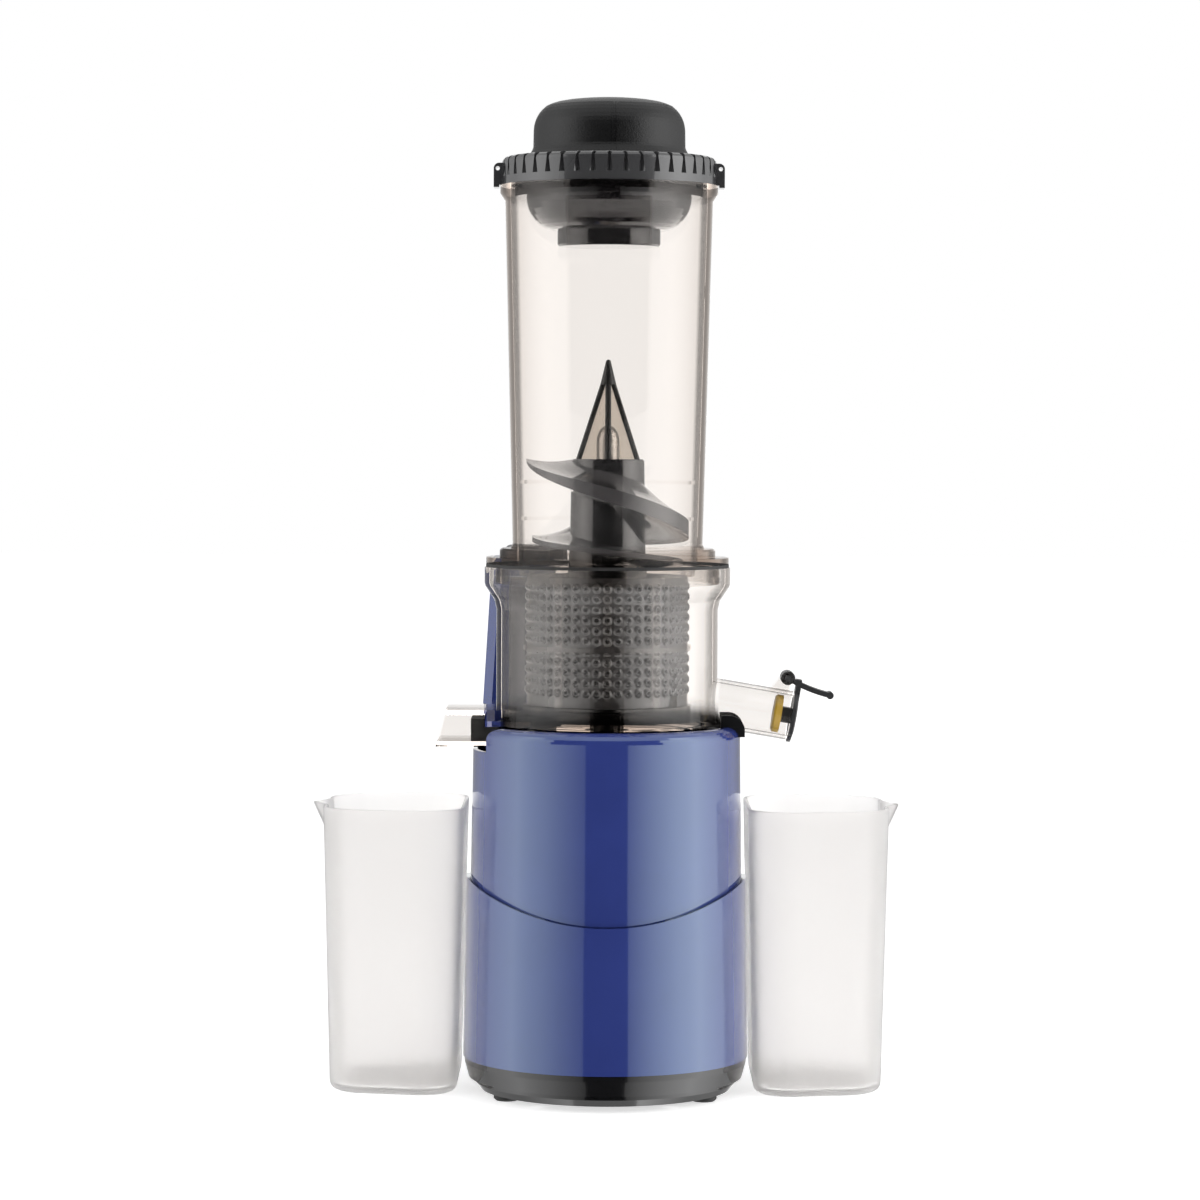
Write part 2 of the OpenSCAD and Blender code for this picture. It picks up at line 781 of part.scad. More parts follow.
// Side view of the handle in its radial plane: root, grip and hooked top, drawn in from its outer face
module handle_side(inset) {
    x1 = handle_reach - inset;
    z0 = handle_root_z + inset;
    z1 = handle_top_z - inset;
    r = handle_bend_r - inset;
    translate([0, z0]) square([x1 - r, z1 - z0]);
    translate([0, z0 + r]) square([x1, z1 - z0 - 2 * r]);
    for (z = [z0 + r, z1 - r]) translate([x1 - r, z]) circle(r = r);
}

// Solid of the handle between two depths, open towards the machine
module handle_layer(from, to) {
    rotate([90, 0, 0]) linear_extrude(height = handle_w, center = true) difference() {
        handle_side(from);
        handle_side(to);
        translate([-cut, handle_root_z + handle_root_h + handle_t])
            square([handle_hook_x + cut, handle_top_z - handle_root_z]);
    }
}

// Outline of the handle seen along its reach: it narrows to the top, and steps in under the bowl's foot
module handle_edges() {
    r = handle_round;
    low_w = handle_w - 2 * handle_step;
    low_z = handle_step_z - handle_step;
    rotate([90, 0, 90]) linear_extrude(height = handle_reach + cut) polygon(concat(
        [[-handle_w / 2, handle_step_z], [-low_w / 2, low_z], [-low_w / 2, handle_root_z],
            [low_w / 2, handle_root_z], [low_w / 2, low_z], [handle_w / 2, handle_step_z]],
        arc(handle_top_w / 2 - r, handle_top_z - r, r, 0, 90),
        arc(r - handle_top_w / 2, handle_top_z - r, r, 90, 180)));
}

module handle_shell() {
    color([0.2, 0.29, 0.6]) in_frame() rotate([0, 0, 90 + handle_turn]) difference() {
        intersection() {
            union() {
                handle_layer(0, handle_t);
                slab(upper_foot_r / 2, handle_reach - handle_bend_r, handle_w, handle_root_z,
                    handle_root_z + handle_root_h);
            }
            handle_edges();
        }
        translate([0, 0, seam_side_z]) cylinder(r1 = upper_foot_r + slip, r2 = upper_top_r + slip,
            h = body_top_z - shoulder_r - seam_side_z);
        handle_cap_room(slip);
    }
}

// Space of the grey cap on the handle's free end
module handle_cap_room(gap) {
    translate([0, 0, handle_top_z - handle_t - gap])
        slab(0, handle_hook_x + handle_cap_l + gap, handle_w + cut, 0, handle_t + cut + gap);
}

module handle_liner() {
    color([0.3, 0.3, 0.31]) in_frame() rotate([0, 0, 90 + handle_turn]) {
        intersection() {
            translate([0, 0, handle_top_z - handle_t]) difference() {
                slab(handle_hook_x, handle_hook_x + handle_cap_l, handle_w, 0, handle_t);
                slab(handle_hook_x - cut, handle_hook_x + handle_cap_l - liner_t, handle_top_w - 2 * liner_t,
                    -cut, handle_t - liner_t);
            }
            handle_edges();
        }
        difference() {
            rotate([90, 0, 0]) linear_extrude(height = handle_top_w - 2 * handle_round,
                center = true) difference() {
                handle_side(handle_t);
                handle_side(handle_t + liner_t);
                square([handle_hook_x + handle_cap_l + slip, handle_top_z]);
            }
            slab(0, handle_reach, handle_w, 0, handle_root_z + handle_root_h);
        }
    }
}

module motor_can() {
    color([0.6, 0.6, 0.62]) in_frame() difference() {
        translate([0, 0, motor_foot_z - motor_wall])
            cylinder(r = motor_r, h = motor_top_z - motor_foot_z + motor_wall);
        translate([0, 0, motor_foot_z]) cylinder(r = motor_r - motor_wall, h = motor_top_z);
        translate([0, 0, motor_foot_z - 2 * motor_wall])
            cylinder(r = motor_shaft_r + fit, h = 4 * motor_wall);
    }
}

module motor_magnets() {
    color([0.25, 0.25, 0.26]) in_frame() for (a = [0, 180])
        ring_sector(magnet_r, magnet_in_r, motor_foot_z, motor_top_z, a, magnet_angle);
}

module motor_end_cap() {
    color([0.5, 0.5, 0.52]) in_frame() difference() {
        translate([0, 0, motor_top_z]) cylinder(r = motor_r, h = motor_cap_t);
        translate([0, 0, motor_top_z - cut]) cylinder(r = motor_shaft_r + fit, h = motor_cap_t + 2 * cut);
    }
}

module motor_rotor() {
    color([0.72, 0.45, 0.25]) in_frame() {
        translate([0, 0, motor_foot_z + 2 * motor_cap_t])
            cylinder(r = rotor_r, h = motor_top_z - motor_foot_z - 4 * motor_cap_t);
        translate([0, 0, base_floor_z + edge]) cylinder(r = motor_shaft_r, h = gear_z1 - base_floor_z);
        translate([0, 0, gear_z1 - edge]) linear_extrude(height = gear_face + 2 * edge)
            polygon(gear_outline(pinion_teeth));
    }
}

module cooling_fan() {
    fan_z = base_floor_z + edge;
    color([0.15, 0.15, 0.16]) in_frame() difference() {
        union() {
            translate([0, 0, fan_z]) cylinder(r = 2 * motor_shaft_r + edge, h = fan_h);
            translate([0, 0, fan_z]) cylinder(r = fan_r, h = fan_blade_t);
            for (i = [0:fan_blades - 1]) rotate([0, 0, turn * i / fan_blades])
                slab(2 * motor_shaft_r, fan_r - edge, fan_blade_t, fan_z + fan_blade_t / 2, fan_z + fan_h);
        }
        cylinder(r = motor_shaft_r, h = motor_foot_z);
    }
}

module gearbox_plate() {
    color([0.75, 0.75, 0.77]) in_frame() difference() {
        translate([0, 0, plate_z]) cylinder(r = plate_r, h = plate_t);
        translate([0, 0, plate_z - cut]) cylinder(r = 2 * motor_shaft_r, h = plate_t + 2 * cut);
        translate([gear_a, 0, plate_z + edge]) cylinder(r = idler_pin_r, h = plate_t + 2 * cut);
        for (a = post_angles) rotate([0, 0, a]) translate([post_ring_r, 0, plate_z - cut])
            cylinder(r = screw_r + slip, h = plate_t + 2 * cut);
        for (a = ear_angles) rotate([0, 0, a]) translate([ear_ring_r, 0, plate_z + edge])
            cylinder(r = screw_r, h = plate_t + 2 * cut);
    }
}

// Outline round the two gear axes
module gear_room(extra) {
    circle(r = gear_module * (output_teeth / 2 + addendum) + extra);
    translate([gear_a, 0]) circle(r = gear_module * (idler_teeth / 2 + addendum) + extra);
}

module gearbox_cover() {
    cover_z = plate_z + plate_t;
    color([0.2, 0.2, 0.21]) in_frame() difference() {
        union() {
            translate([0, 0, cover_z]) linear_extrude(height = cover_top_z + cover_t - cover_z)
                gear_room(cover_room + cover_wall);
            translate([0, 0, cover_top_z]) cylinder(r = boss_r, h = boss_top_z - cover_top_z);
            for (a = ear_angles) rotate([0, 0, a]) {
                translate([ear_ring_r, 0, cover_z]) cylinder(r = ear_r, h = cover_t);
                slab(ear_ring_r - 2 * ear_r, ear_ring_r, 2 * ear_r, cover_z, cover_z + cover_t);
            }
        }
        translate([0, 0, cover_z - cut]) linear_extrude(height = cover_top_z - cover_z + cut)
            gear_room(cover_room);
        translate([0, 0, bearing_z1]) cylinder(r = bearing_r, h = boss_top_z);
        translate([0, 0, cover_top_z - cut]) cylinder(r = bearing_r - bearing_race, h = cover_t + 2 * cut);
        translate([gear_a, 0, cover_top_z - cut]) cylinder(r = idler_pin_r, h = cover_t);
        for (a = ear_angles) rotate([0, 0, a]) translate([ear_ring_r, 0, plate_z])
            cylinder(r = screw_r + slip, h = plate_t + 2 * cover_t);
    }
}

module gearbox_screws() {
    color([0.7, 0.7, 0.72]) in_frame() {
        for (a = ear_angles) rotate([0, 0, a]) translate([ear_ring_r, 0, plate_z]) {
            translate([0, 0, plate_t + cover_t]) cylinder(r = screw_head_r, h = screw_head_h);
            translate([0, 0, edge]) cylinder(r = screw_r, h = plate_t + cover_t);
        }
        for (a = post_angles) rotate([0, 0, a]) translate([post_ring_r, 0, plate_z]) {
            translate([0, 0, plate_t]) cylinder(r = screw_head_r, h = screw_head_h);
            translate([0, 0, cut - screw_bite]) cylinder(r = screw_r, h = plate_t + screw_bite);
        }
    }
}

module idler_pin() {
    color([0.8, 0.8, 0.82]) in_frame() translate([gear_a, 0, plate_z + edge])
        cylinder(r = idler_pin_r, h = cover_top_z + cover_t - cut - plate_z - edge);
}

module idler_gear() {
    color([0.85, 0.82, 0.72]) in_frame() translate([gear_a, 0, 0]) difference() {
        union() {
            rotate([0, 0, turn / idler_teeth / 2]) translate([0, 0, gear_z1])
                linear_extrude(height = gear_face)
                polygon(gear_outline(idler_teeth));
            translate([0, 0, gear_z1 + gear_face - edge])
                linear_extrude(height = gear_lift + gear_face + edge)
                polygon(gear_outline(step_teeth));
            translate([0, 0, plate_z + plate_t + run_gap])
                cylinder(r = idler_hub_r, h = gear_z1 - plate_z - plate_t);
        }
        translate([0, 0, plate_z]) cylinder(r = idler_pin_r + fit, h = cover_top_z - plate_z + cut);
    }
}

module output_gear() {
    color([0.85, 0.82, 0.72]) in_frame() difference() {
        union() {
            rotate([0, 0, turn / output_teeth / 2]) translate([0, 0, gear_z2])
                linear_extrude(height = gear_face)
                polygon(gear_outline(output_teeth));
            translate([0, 0, gear_z2]) cylinder(r = 2 * shaft_r - 2 * edge, h = gear_face + edge);
        }
        translate([0, 0, gear_z2 + edge]) cylinder(r = shaft_r, h = 2 * gear_face);
    }
}

module output_bearings() {
    color([0.8, 0.8, 0.82]) in_frame() for (z = [bearing_z1, bearing_z2]) difference() {
        ring(bearing_r, shaft_r + fit, z, z + bearing_h);
        for (z1 = [z - edge, z + bearing_h - edge])
            ring(bearing_r - bearing_race, shaft_r + bearing_race, z1, z1 + 2 * edge);
    }
}

module drive_shaft() {
    color([0.8, 0.8, 0.82]) in_frame() {
        translate([0, 0, gear_z2 + edge]) cylinder(r = shaft_r, h = hex_z - gear_z2);
        translate([0, 0, hex_z]) cylinder(r = hex_flat / sqrt(3), h = hex_top_z - hex_z, $fn = 6);
    }
}

module shaft_seal() {
    color([0.12, 0.12, 0.12]) in_frame() lathe([[shaft_r + fit, well_floor_z], [seal_r, well_floor_z],
        [seal_r, well_floor_z + seal_h / 2], [seal_r / 2 + 2 * edge, well_floor_z + seal_h],
        [shaft_r + fit, well_floor_z + seal_h]]);
}

module control_board() {
    face_x = board_x + board_t / 2 - fit;
    color([0.1, 0.4, 0.2]) in_frame()
        slab(board_x - board_t / 2 + fit, face_x, board_w, base_floor_z, base_floor_z + board_h);
    color([0.15, 0.2, 0.5]) in_frame() translate([face_x - edge, board_w / 4, base_floor_z + board_h / 2])
        rotate([0, 90, 0]) cylinder(r = cap_body_r, h = relay_d);
    color([0.1, 0.1, 0.1]) in_frame() translate([0, -board_w / 5, 0])
        slab(face_x - edge, face_x + relay_d, relay_w, base_floor_z + board_h / 3,
            base_floor_z + board_h / 3 + relay_h);
}

module switch_bezel() {
    color([0.08, 0.08, 0.08]) in_frame()
        translate([0, switch_face_y, switch_z]) rotate([90, 0, 0]) difference() {
        union() {
            linear_extrude(height = switch_flange_t)
                round_rect(switch_w + 2 * switch_flange, switch_h + 2 * switch_flange, switch_flange);
            linear_extrude(height = switch_depth) square([switch_w, switch_h], center = true);
        }
        translate([0, 0, -cut]) linear_extrude(height = switch_depth - switch_flange_t + cut)
            square([switch_w - 2 * switch_flange, 2 * (rocker_r + rocker_gap)], center = true);
        translate([0, 0, rocker_sunk]) rotate([0, 90, 0])
            cylinder(r = rocker_pin_r, h = switch_w + cut, center = true);
    }
}

module switch_pin() {
    color([0.7, 0.7, 0.72]) in_frame()
        translate([0, switch_face_y - rocker_sunk, switch_z]) rotate([0, 90, 0])
        cylinder(r = rocker_pin_r, h = switch_w, center = true);
}

module rocker_switch() {
    color([0.05, 0.05, 0.05]) in_frame()
        translate([0, switch_face_y - rocker_sunk, switch_z]) rotate([0, 90, 0]) difference() {
        linear_extrude(height = switch_w - 2 * switch_flange - 2 * rocker_gap, center = true)
            rocker_outline();
        cylinder(r = rocker_pin_r + fit, h = switch_w, center = true);
    }
}

// Side view of the rocker about its pin: a round back and two faces that meet in a low valley
module rocker_outline() {
    intersection() {
        circle(r = rocker_r);
        polygon([[-rocker_r, -rocker_r / 2], [rocker_r, -rocker_r / 2], [rocker_r, rocker_r],
            [rocker_r / 2, rocker_r], [0, rocker_r - rocker_valley], [-rocker_r / 2, rocker_r],
            [-rocker_r, rocker_r]]);
    }
}

module cord_gland() {
    color([0.08, 0.08, 0.08]) in_frame() rotate([0, 0, gland_angle])
        translate([0, 0, gland_z]) rotate([0, 90, 0])
        difference() {
            union() {
                translate([0, 0, body_foot_r + slip]) cylinder(r = gland_flange_r, h = gland_flange_t);
                translate([0, 0, body_foot_r + gland_flange_t - gland_l]) cylinder(r = gland_r, h = gland_l);
            }
            translate([0, 0, body_foot_r - gland_l]) cylinder(r = gland_bore_r, h = 2 * gland_l);
        }
}

// Outline of the bowl's flared neck, from the wall's radius r0 to the collar's r1
function neck(r0, r1) = [for (i = [0:len(neck_r_shares) - 1])
    [r0 + (r1 - r0) * neck_r_shares[i], bowl_neck_z + (collar_z - bowl_neck_z) * neck_z_shares[i]]];

// The list from its end to its start
function reversed(list) = [for (i = [len(list) - 1:-1:0]) list[i]];

module bowl() {
    in_r = bowl_r - bowl_wall;
    color([0.5, 0.5, 0.52, 0.45]) in_frame() difference() {
        union() {
            lathe(concat([[sleeve_bore_r, bowl_foot_z], [bowl_r + bowl_band, bowl_foot_z],
                [bowl_r + bowl_band, bowl_band_z], [bowl_r, bowl_band_z]], neck(bowl_r, collar_r),
                [[collar_r, collar_top_z], [collar_r - collar_wall, collar_top_z]],
                reversed(neck(in_r, collar_r - collar_wall)), [[in_r, bowl_floor_z], [sleeve_r, bowl_floor_z],
                [sleeve_r, sleeve_top_z], [sleeve_bore_r, sleeve_top_z]]));
            ring(spigot_r, spigot_r - spigot_wall, spigot_z, bowl_foot_z + edge);
            difference() {
                union() {
                    chute_outer();
                    in_spout() cylinder(r = spout_r, h = spout_l);
                }
                translate([0, 0, bowl_floor_z]) cylinder(r = in_r, h = collar_z);
            }
            for (i = [0:lug_count - 1]) ring_sector(collar_r - edge, collar_r - collar_wall - lug_depth,
                lug_z, lug_z + lug_h, turn * i / lug_count + lug_turn, lug_angle);
            cap_ears();
        }
        chute_inner();
        in_spout() translate([0, 0, -spout_r / 2]) cylinder(r = spout_r - spout_wall, h = spout_l + spout_r);
        hinge_line() cylinder(r = hinge_pin_r, h = 2 * barrel_w, center = true);
    }
}

// Outer box of the pulp chute with its slanted mouth, and the channel under the bowl's floor that leads to it
module chute_outer() {
    rotate([90, 0, 0]) linear_extrude(height = chute_w, center = true) {
        polygon([[-chute_reach, chute_z], [-chute_reach + chute_slant, chute_top_z], [-bowl_r / 2,
            chute_top_z],
            [-bowl_r / 2, chute_z]]);
        translate([-bowl_r / 2 - cut, chute_z])
            square([bowl_r / 2 + cut - chute_in_x + chute_wall, bowl_foot_z + edge - chute_z]);
    }
}

// Passage for the pulp: a drop hole under the screw, the channel below the floor, and the wide mouth
module chute_inner() {
    inner_w = chute_w - 2 * chute_wall;
    slab(-chute_reach - cut, -bowl_r - 2 * chute_wall, inner_w, chute_z + chute_wall,
        chute_top_z - chute_wall);
    slab(-bowl_r - 2 * chute_wall - cut, -chute_in_x, inner_w, chute_z + chute_wall, bowl_foot_z - edge / 2);
    ring_sector(flight_r, chute_in_x + chute_wall, bowl_foot_z - cut, bowl_floor_z + cut, turn / 2,
        drop_angle);
}

// The hinge of the spout cap, across the spout
module hinge_line() {
    in_spout() translate([-spout_r - hinge_over, 0, spout_l - hinge_back]) rotate([90, 0, 0]) children();
}

// The two clear ears on the spout that hold the hinge pin
module cap_ears() {
    for (s = [-1, 1]) hinge_line() translate([0, 0, s * (barrel_w / 2 + run_gap + ear_t / 2)])
        linear_extrude(height = ear_t, center = true) {
            circle(r = hinge_r);
            polygon([[0, hinge_r], [0, -hinge_r], [hinge_over + 2 * spout_wall, -ear_foot],
                [hinge_over + 2 * spout_wall, hinge_r / 2]]);
        }
}

module bowl_seal() {
    color([0.12, 0.12, 0.12]) in_frame() ring(well_r - run_gap, spigot_r - 2 * spigot_wall, well_floor_z,
        spigot_z);
}

module strainer_frame() {
    in_r = screen_r - screen_t;
    top_z = collar_top_z - run_gap;
    color([0.55, 0.55, 0.57, 0.5]) in_frame() {
        ring(screen_r + frame_rib_d, in_r, bowl_floor_z, screen_z);
        ring(frame_rim_r, in_r, top_z - frame_rim_h, top_z);
        ring(screen_r + frame_rib_d, screen_r, frame_band_z, frame_band_z + frame_band_h);
        for (i = [0:frame_ribs - 1]) ring_sector(screen_r + frame_rib_d - edge / 4, screen_r + edge / 2,
            screen_z - edge, top_z - frame_rim_h + edge, turn * (i + 1 / 2) / frame_ribs, frame_rib_angle);
    }
}

module strainer_screen() {
    screen_top_z = collar_top_z - run_gap - frame_rim_h;
    row_pitch = (screen_top_z - screen_z - 4 * screen_hole_r) / screen_rows;
    color([0.75, 0.75, 0.77]) in_frame() difference() {
        ring(screen_r, screen_r - screen_t, screen_z, screen_top_z);
        for (i = [0:screen_cols - 1], k = [0:screen_rows - 1])
            rotate([0, 0, turn * (i + 1 / 2 + (k % 2) / 2) / screen_cols])
                translate([screen_r - 2 * screen_t, 0,
                    screen_z + 2 * screen_hole_r + (k + 1 / 2) * row_pitch])
                    rotate([0, 90, 0]) cylinder(r = screen_hole_r, h = 4 * screen_t, $fn = 16);
    }
}

module pulp_plug() {
    plug_w = chute_w - 2 * chute_wall - 2 * slip;
    color([0.1, 0.1, 0.1]) in_frame() {
        slab(-plug_out_x, -bowl_r - 2 * chute_wall - slip, plug_w, chute_z + chute_wall, plug_top_z);
        slab(-plug_out_x, -plug_in_x, plug_w, chute_z + chute_wall, bowl_foot_z - edge);
    }
}

module cap_pin() {
    color([0.8, 0.8, 0.82]) in_frame() hinge_line()
        cylinder(r = hinge_pin_r, h = barrel_w + 2 * run_gap + 2 * ear_t, center = true);
}

module auger_bush() {
    color([0.8, 0.8, 0.82]) in_frame() difference() {
        translate([0, 0, bush_z]) cylinder(r = bush_r, h = bush_h);
        translate([0, 0, bush_z - cut])
            cylinder(r = (hex_flat + 2 * hex_gap) / sqrt(3), h = bush_h + 2 * cut, $fn = 6);
    }
}

// Radius of the screw's hub at the height z
function hub_r(z) = lookup(z, [[hub_foot_z, hub_low_r], [hub_mid_z, hub_mid_r], [hub_top_z, hub_top_r]]);

// Height on the wide blade in the feed tube, which is the flight's first turn
function blade_at(shares, a) = hub_top_z - blade_drop * lookup(a, [for (i = [0:len(shares) - 1])
    [turn / 4 * i, shares[i]]]);

// Height of the thread below the blade, after a turn of a degrees
function thread_z(a) = blade_at(root_top_shares, turn) - flight_pitch * (a - turn) / turn;

// Radius of the flight's rim, which draws in from the blade to the thread
function rim_at(a) = lookup(a, [for (i = [0:len(rim_r_shares) - 1])
    [turn / 4 * i, rim_r_shares[i] * blade_r + (1 - rim_r_shares[i]) * flight_r]]);

// Section of the flight after a turn of a degrees: its root and rim, low and top
function flight_section(a) = let (
        on_blade = a <= turn,
        rim_mid = thread_z(a) - flight_root_t / 2,
        root_top = on_blade ? blade_at(root_top_shares, a) : thread_z(a),
        root_low = on_blade ? blade_at(root_low_shares, a) : thread_z(a) - flight_root_t - flight_rim_t,
        rim_top = on_blade ? blade_at(rim_top_shares, a) : rim_mid,
        rim_low = on_blade ? blade_at(rim_low_shares, a) : rim_mid - flight_rim_t)
    [[hub_r(root_low) - root_sink, root_low], [rim_at(a), rim_low], [rim_at(a), rim_top],
        [hub_r(root_top) - root_sink, root_top]];

// The flight as one closed skin round all its sections
module flight() {
    step = turn / flight_steps;
    count = round(flight_steps * (1 + flight_turns));
    points = [for (i = [0:count], p = flight_section(i * step))
        [p[0] * cos(turn / 2 + i * step), p[0] * sin(turn / 2 + i * step), p[1]]];
    sides = [for (i = [0:count - 1], k = [0:3]) let (a = 4 * i + k, b = 4 * i + (k + 1) % 4)
        each [[a, b, a + 4], [b, b + 4, a + 4]]];
    last = 4 * count;
    polyhedron(points, concat(sides, [[3, 2, 1], [3, 1, 0], [last, last + 1, last + 2], [last, last + 2,
        last + 3]]));
}

module auger() {
    color([0.3, 0.3, 0.31]) in_frame() difference() {
        union() {
            lathe([[0, hub_foot_z], [hub_low_r, hub_foot_z], [hub_mid_r, hub_mid_z], [hub_top_r, hub_top_z],
                [0, hub_top_z]]);
            flight();
        }
        translate([0, 0, bush_z - cut]) cylinder(r = bush_r, h = bush_h + 2 * cut);
        translate([0, 0, hub_foot_z - cut])
            cylinder(r = sleeve_r + edge, h = sleeve_top_z - hub_foot_z + 2 * cut);
    }
}

// Four-sided pyramid on the hub whose corners lie on X and Y, drawn in by an inset
module pyramid(inset) {
    half = tip_base_r / sqrt(2) - inset;
    for_h = tip_h * half / (tip_base_r / sqrt(2));
    translate([0, 0, hub_top_z]) intersection_for(a = [45, 135]) rotate([90, 0, a])
        linear_extrude(height = 4 * tip_base_r, center = true)
            polygon([[-half, 0], [half, 0], [0, for_h]]);
}

// Windows through the pyramid's four faces, drawn in from the ribs by a gap
module tip_windows(gap) {
    half = tip_base_r / sqrt(2);
    open_h = tip_h * (1 - tip_solid_share) - gap;
    rib = tip_rib / sqrt(2) + gap;
    for (a = [45:90:315]) rotate([0, 0, a]) translate([0, 0, hub_top_z]) rotate([90, 0, 90])
        linear_extrude(height = 2 * tip_base_r)
            polygon([[-half + rib, -cut], [half - rib, -cut], [half - rib, 0],
                [half * (1 - open_h / tip_h) - rib / 2, open_h], [-half * (1 - open_h / tip_h) + rib / 2,
                    open_h],
                [-half + rib, 0]]);
}

module auger_tip() {
    color([0.08, 0.08, 0.08]) in_frame() difference() {
        pyramid(0);
        intersection() {
            pyramid(tip_rib);
            translate([0, 0, hub_top_z - cut])
                cylinder(r = tip_base_r, h = tip_h * (1 - tip_solid_share) + cut);
        }
        tip_windows(0);
    }
}

module tip_panels() {
    color([0.5, 0.45, 0.42, 0.4]) in_frame() intersection() {
        difference() {
            pyramid(panel_inset);
            pyramid(panel_inset + panel_t);
        }
        tip_windows(slip / 2);
    }
}

module auger_shaft_cap() {
    color([0.6, 0.6, 0.62]) in_frame() lathe(concat([[0, hub_top_z], [bullet_r, hub_top_z]],
        [for (p = arc(0, 0, 1, 0, 90)) [bullet_r * p[0], hub_top_z + bullet_h / 2 * (1 + p[1])]]));
}

module spout_cap() {
    face = spout_l + run_gap;
    color([0.1, 0.1, 0.1]) in_frame() {
        in_spout() translate([0, 0, face])
            lathe([[0, 0], [cap_disc_r, 0], [cap_disc_r, cap_disc_t - cap_dome],
            [cap_disc_r * cap_flat_share, cap_disc_t], [0, cap_disc_t]]);
        in_spout() translate([0, 0, seal_s - seal_taper])
            linear_extrude(height = face - seal_s + seal_taper + edge)
            square([stem_w, stem_w], center = true);
        hinge_line() difference() {
            union() {
                cylinder(r = hinge_r, h = barrel_w, center = true);
                linear_extrude(height = barrel_w, center = true) lever_outline();
            }
            cylinder(r = hinge_pin_r + fit, h = 2 * barrel_w, center = true);
        }
    }
}

// Side view of the lever: a bent tongue from the hinge barrel to its thick end, and the web to the cap's disc
module lever_outline() {
    outer = lever_bend_r + lever_t / 2;
    inner = lever_bend_r - lever_t / 2;
    bend = lever_l / lever_bend_r * 180 / PI;
    rotate(90 - lever_slope) translate([0, lever_bend_r]) {
        polygon(concat(arc(0, 0, outer, -90, -90 + bend), reversed(arc(0, 0, inner, -90, -90 + bend))));
        rotate(bend) translate([0, -lever_bend_r]) circle(r = lever_end_r);
    }
    translate([0, hinge_back + run_gap])
        square([hinge_over + spout_r - cap_disc_r + 2 * lever_t, cap_disc_t]);
}

module spout_seal() {
    color([0.9, 0.7, 0.1]) in_frame() in_spout() translate([0, 0, seal_s - seal_ring_t]) difference() {
        lathe([[0, 0], [seal_ring_r - seal_taper, 0], [seal_ring_r, seal_taper], [seal_ring_r, seal_ring_t],
            [0, seal_ring_t]]);
        translate([0, 0, seal_ring_t - seal_taper]) linear_extrude(height = cut + seal_taper)
            square([stem_w, stem_w], center = true);
    }
}

module hopper() {
    tube_in_r = tube_foot_r - tube_wall;
    rim_in_r = tube_rim_r - tube_wall;
    rim_low_z = tube_rim_z - rim_h;
    color([0.5, 0.5, 0.52, 0.45]) in_frame() {
        difference() {
            lathe([[tube_in_r, lid_z], [lid_low_r - lid_groove, lid_z], [lid_low_r, lid_z + lid_groove],
                [lid_low_r, lid_mid_z], [lid_high_r, lid_mid_z], [lid_high_r, lid_top_z - lid_groove],
                [lid_high_r - lid_groove, lid_top_z], [tube_foot_r + lid_groove, lid_top_z],
                [tube_foot_r, lid_top_z + 2 * lid_groove], [tube_rim_r, rim_low_z - rim_step],
                [rim_r, rim_low_z], [rim_r, tube_rim_z], [rim_in_r, tube_rim_z],
                [rim_in_r, rim_low_z - rim_step], [tube_in_r, lid_top_z]]);
            ring(lid_seal_r + lid_seal_t / 2, lid_seal_r - lid_seal_t / 2, lid_z - cut, lid_z + lid_seal_t);
        }
        ring(skirt_r, skirt_r - skirt_wall, skirt_z, lid_z + edge);
        for (i = [0:lug_count - 1]) ring_sector(collar_r - collar_wall - run_gap, skirt_r - edge,
            lug_z - run_gap - lug_h, lug_z - run_gap, turn * i / lug_count + lug_turn, lug_angle - lug_play);
        for (a = inner_rib_turns, z = [inner_rib_z1, inner_rib_z2]) intersection() {
            ring_sector(tube_foot_r, tube_in_r - inner_rib_d, z, z + inner_rib_h, a, inner_rib_angle);
            cylinder(r = tube_in_r + edge, h = tube_rim_z);
        }
    }
}

module lid_seal() {
    color([0.12, 0.12, 0.12]) in_frame() ring(lid_seal_r + lid_seal_t / 2 - fit,
        lid_seal_r - lid_seal_t / 2 + fit,
        collar_top_z + fit, lid_z + lid_seal_t);
}

module pusher_ring() {
    color([0.25, 0.25, 0.26]) in_frame() difference() {
        union() {
            lathe(concat([[knob_spigot_r, ring_z], [ring_r, ring_z], [ring_r, ring_top_z - ring_round]],
                arc(ring_r - ring_round, ring_top_z - ring_round, ring_round, 0, 90, 4), [[knob_spigot_r,
                    ring_top_z]]));
            for (s = [0, 180]) rotate([0, 0, s]) side_lug();
        }
        for (i = [0:knurl_count - 1]) rotate([0, 0, turn * (i + 1 / 2) / knurl_count])
            translate([ring_r, 0, ring_top_z - groove_h]) rotate([0, -atan(groove_depth / groove_h), 0])
                rotate([0, 0, 45]) translate([-groove_w / 2, -groove_w / 2, 0])
                    cube([groove_w, groove_w, 2 * groove_h]);
    }
}

// Side lug of the ring: a tongue that hangs past the tube's rim, with a small hole at its upper end
module side_lug() {
    out_x = rim_r + run_gap + side_lug_t;
    top_z = ring_top_z - ring_round;
    rotate([90, 0, 0]) linear_extrude(height = side_lug_w, center = true) difference() {
        union() {
            translate([ring_r - edge, ring_z])
                square([out_x - ring_r + edge, top_z - side_lug_round - ring_z]);
            translate([ring_r - edge, ring_z])
                square([out_x - side_lug_round - ring_r + edge, top_z - ring_z]);
            translate([out_x - side_lug_round, top_z - side_lug_round]) circle(r = side_lug_round);
            translate([rim_r + run_gap, top_z - side_lug_h])
                square([out_x - rim_r - run_gap, side_lug_h / 2]);
        }
        translate([ring_r + side_lug_hole_r + edge, top_z - side_lug_round]) circle(r = side_lug_hole_r);
    }
}

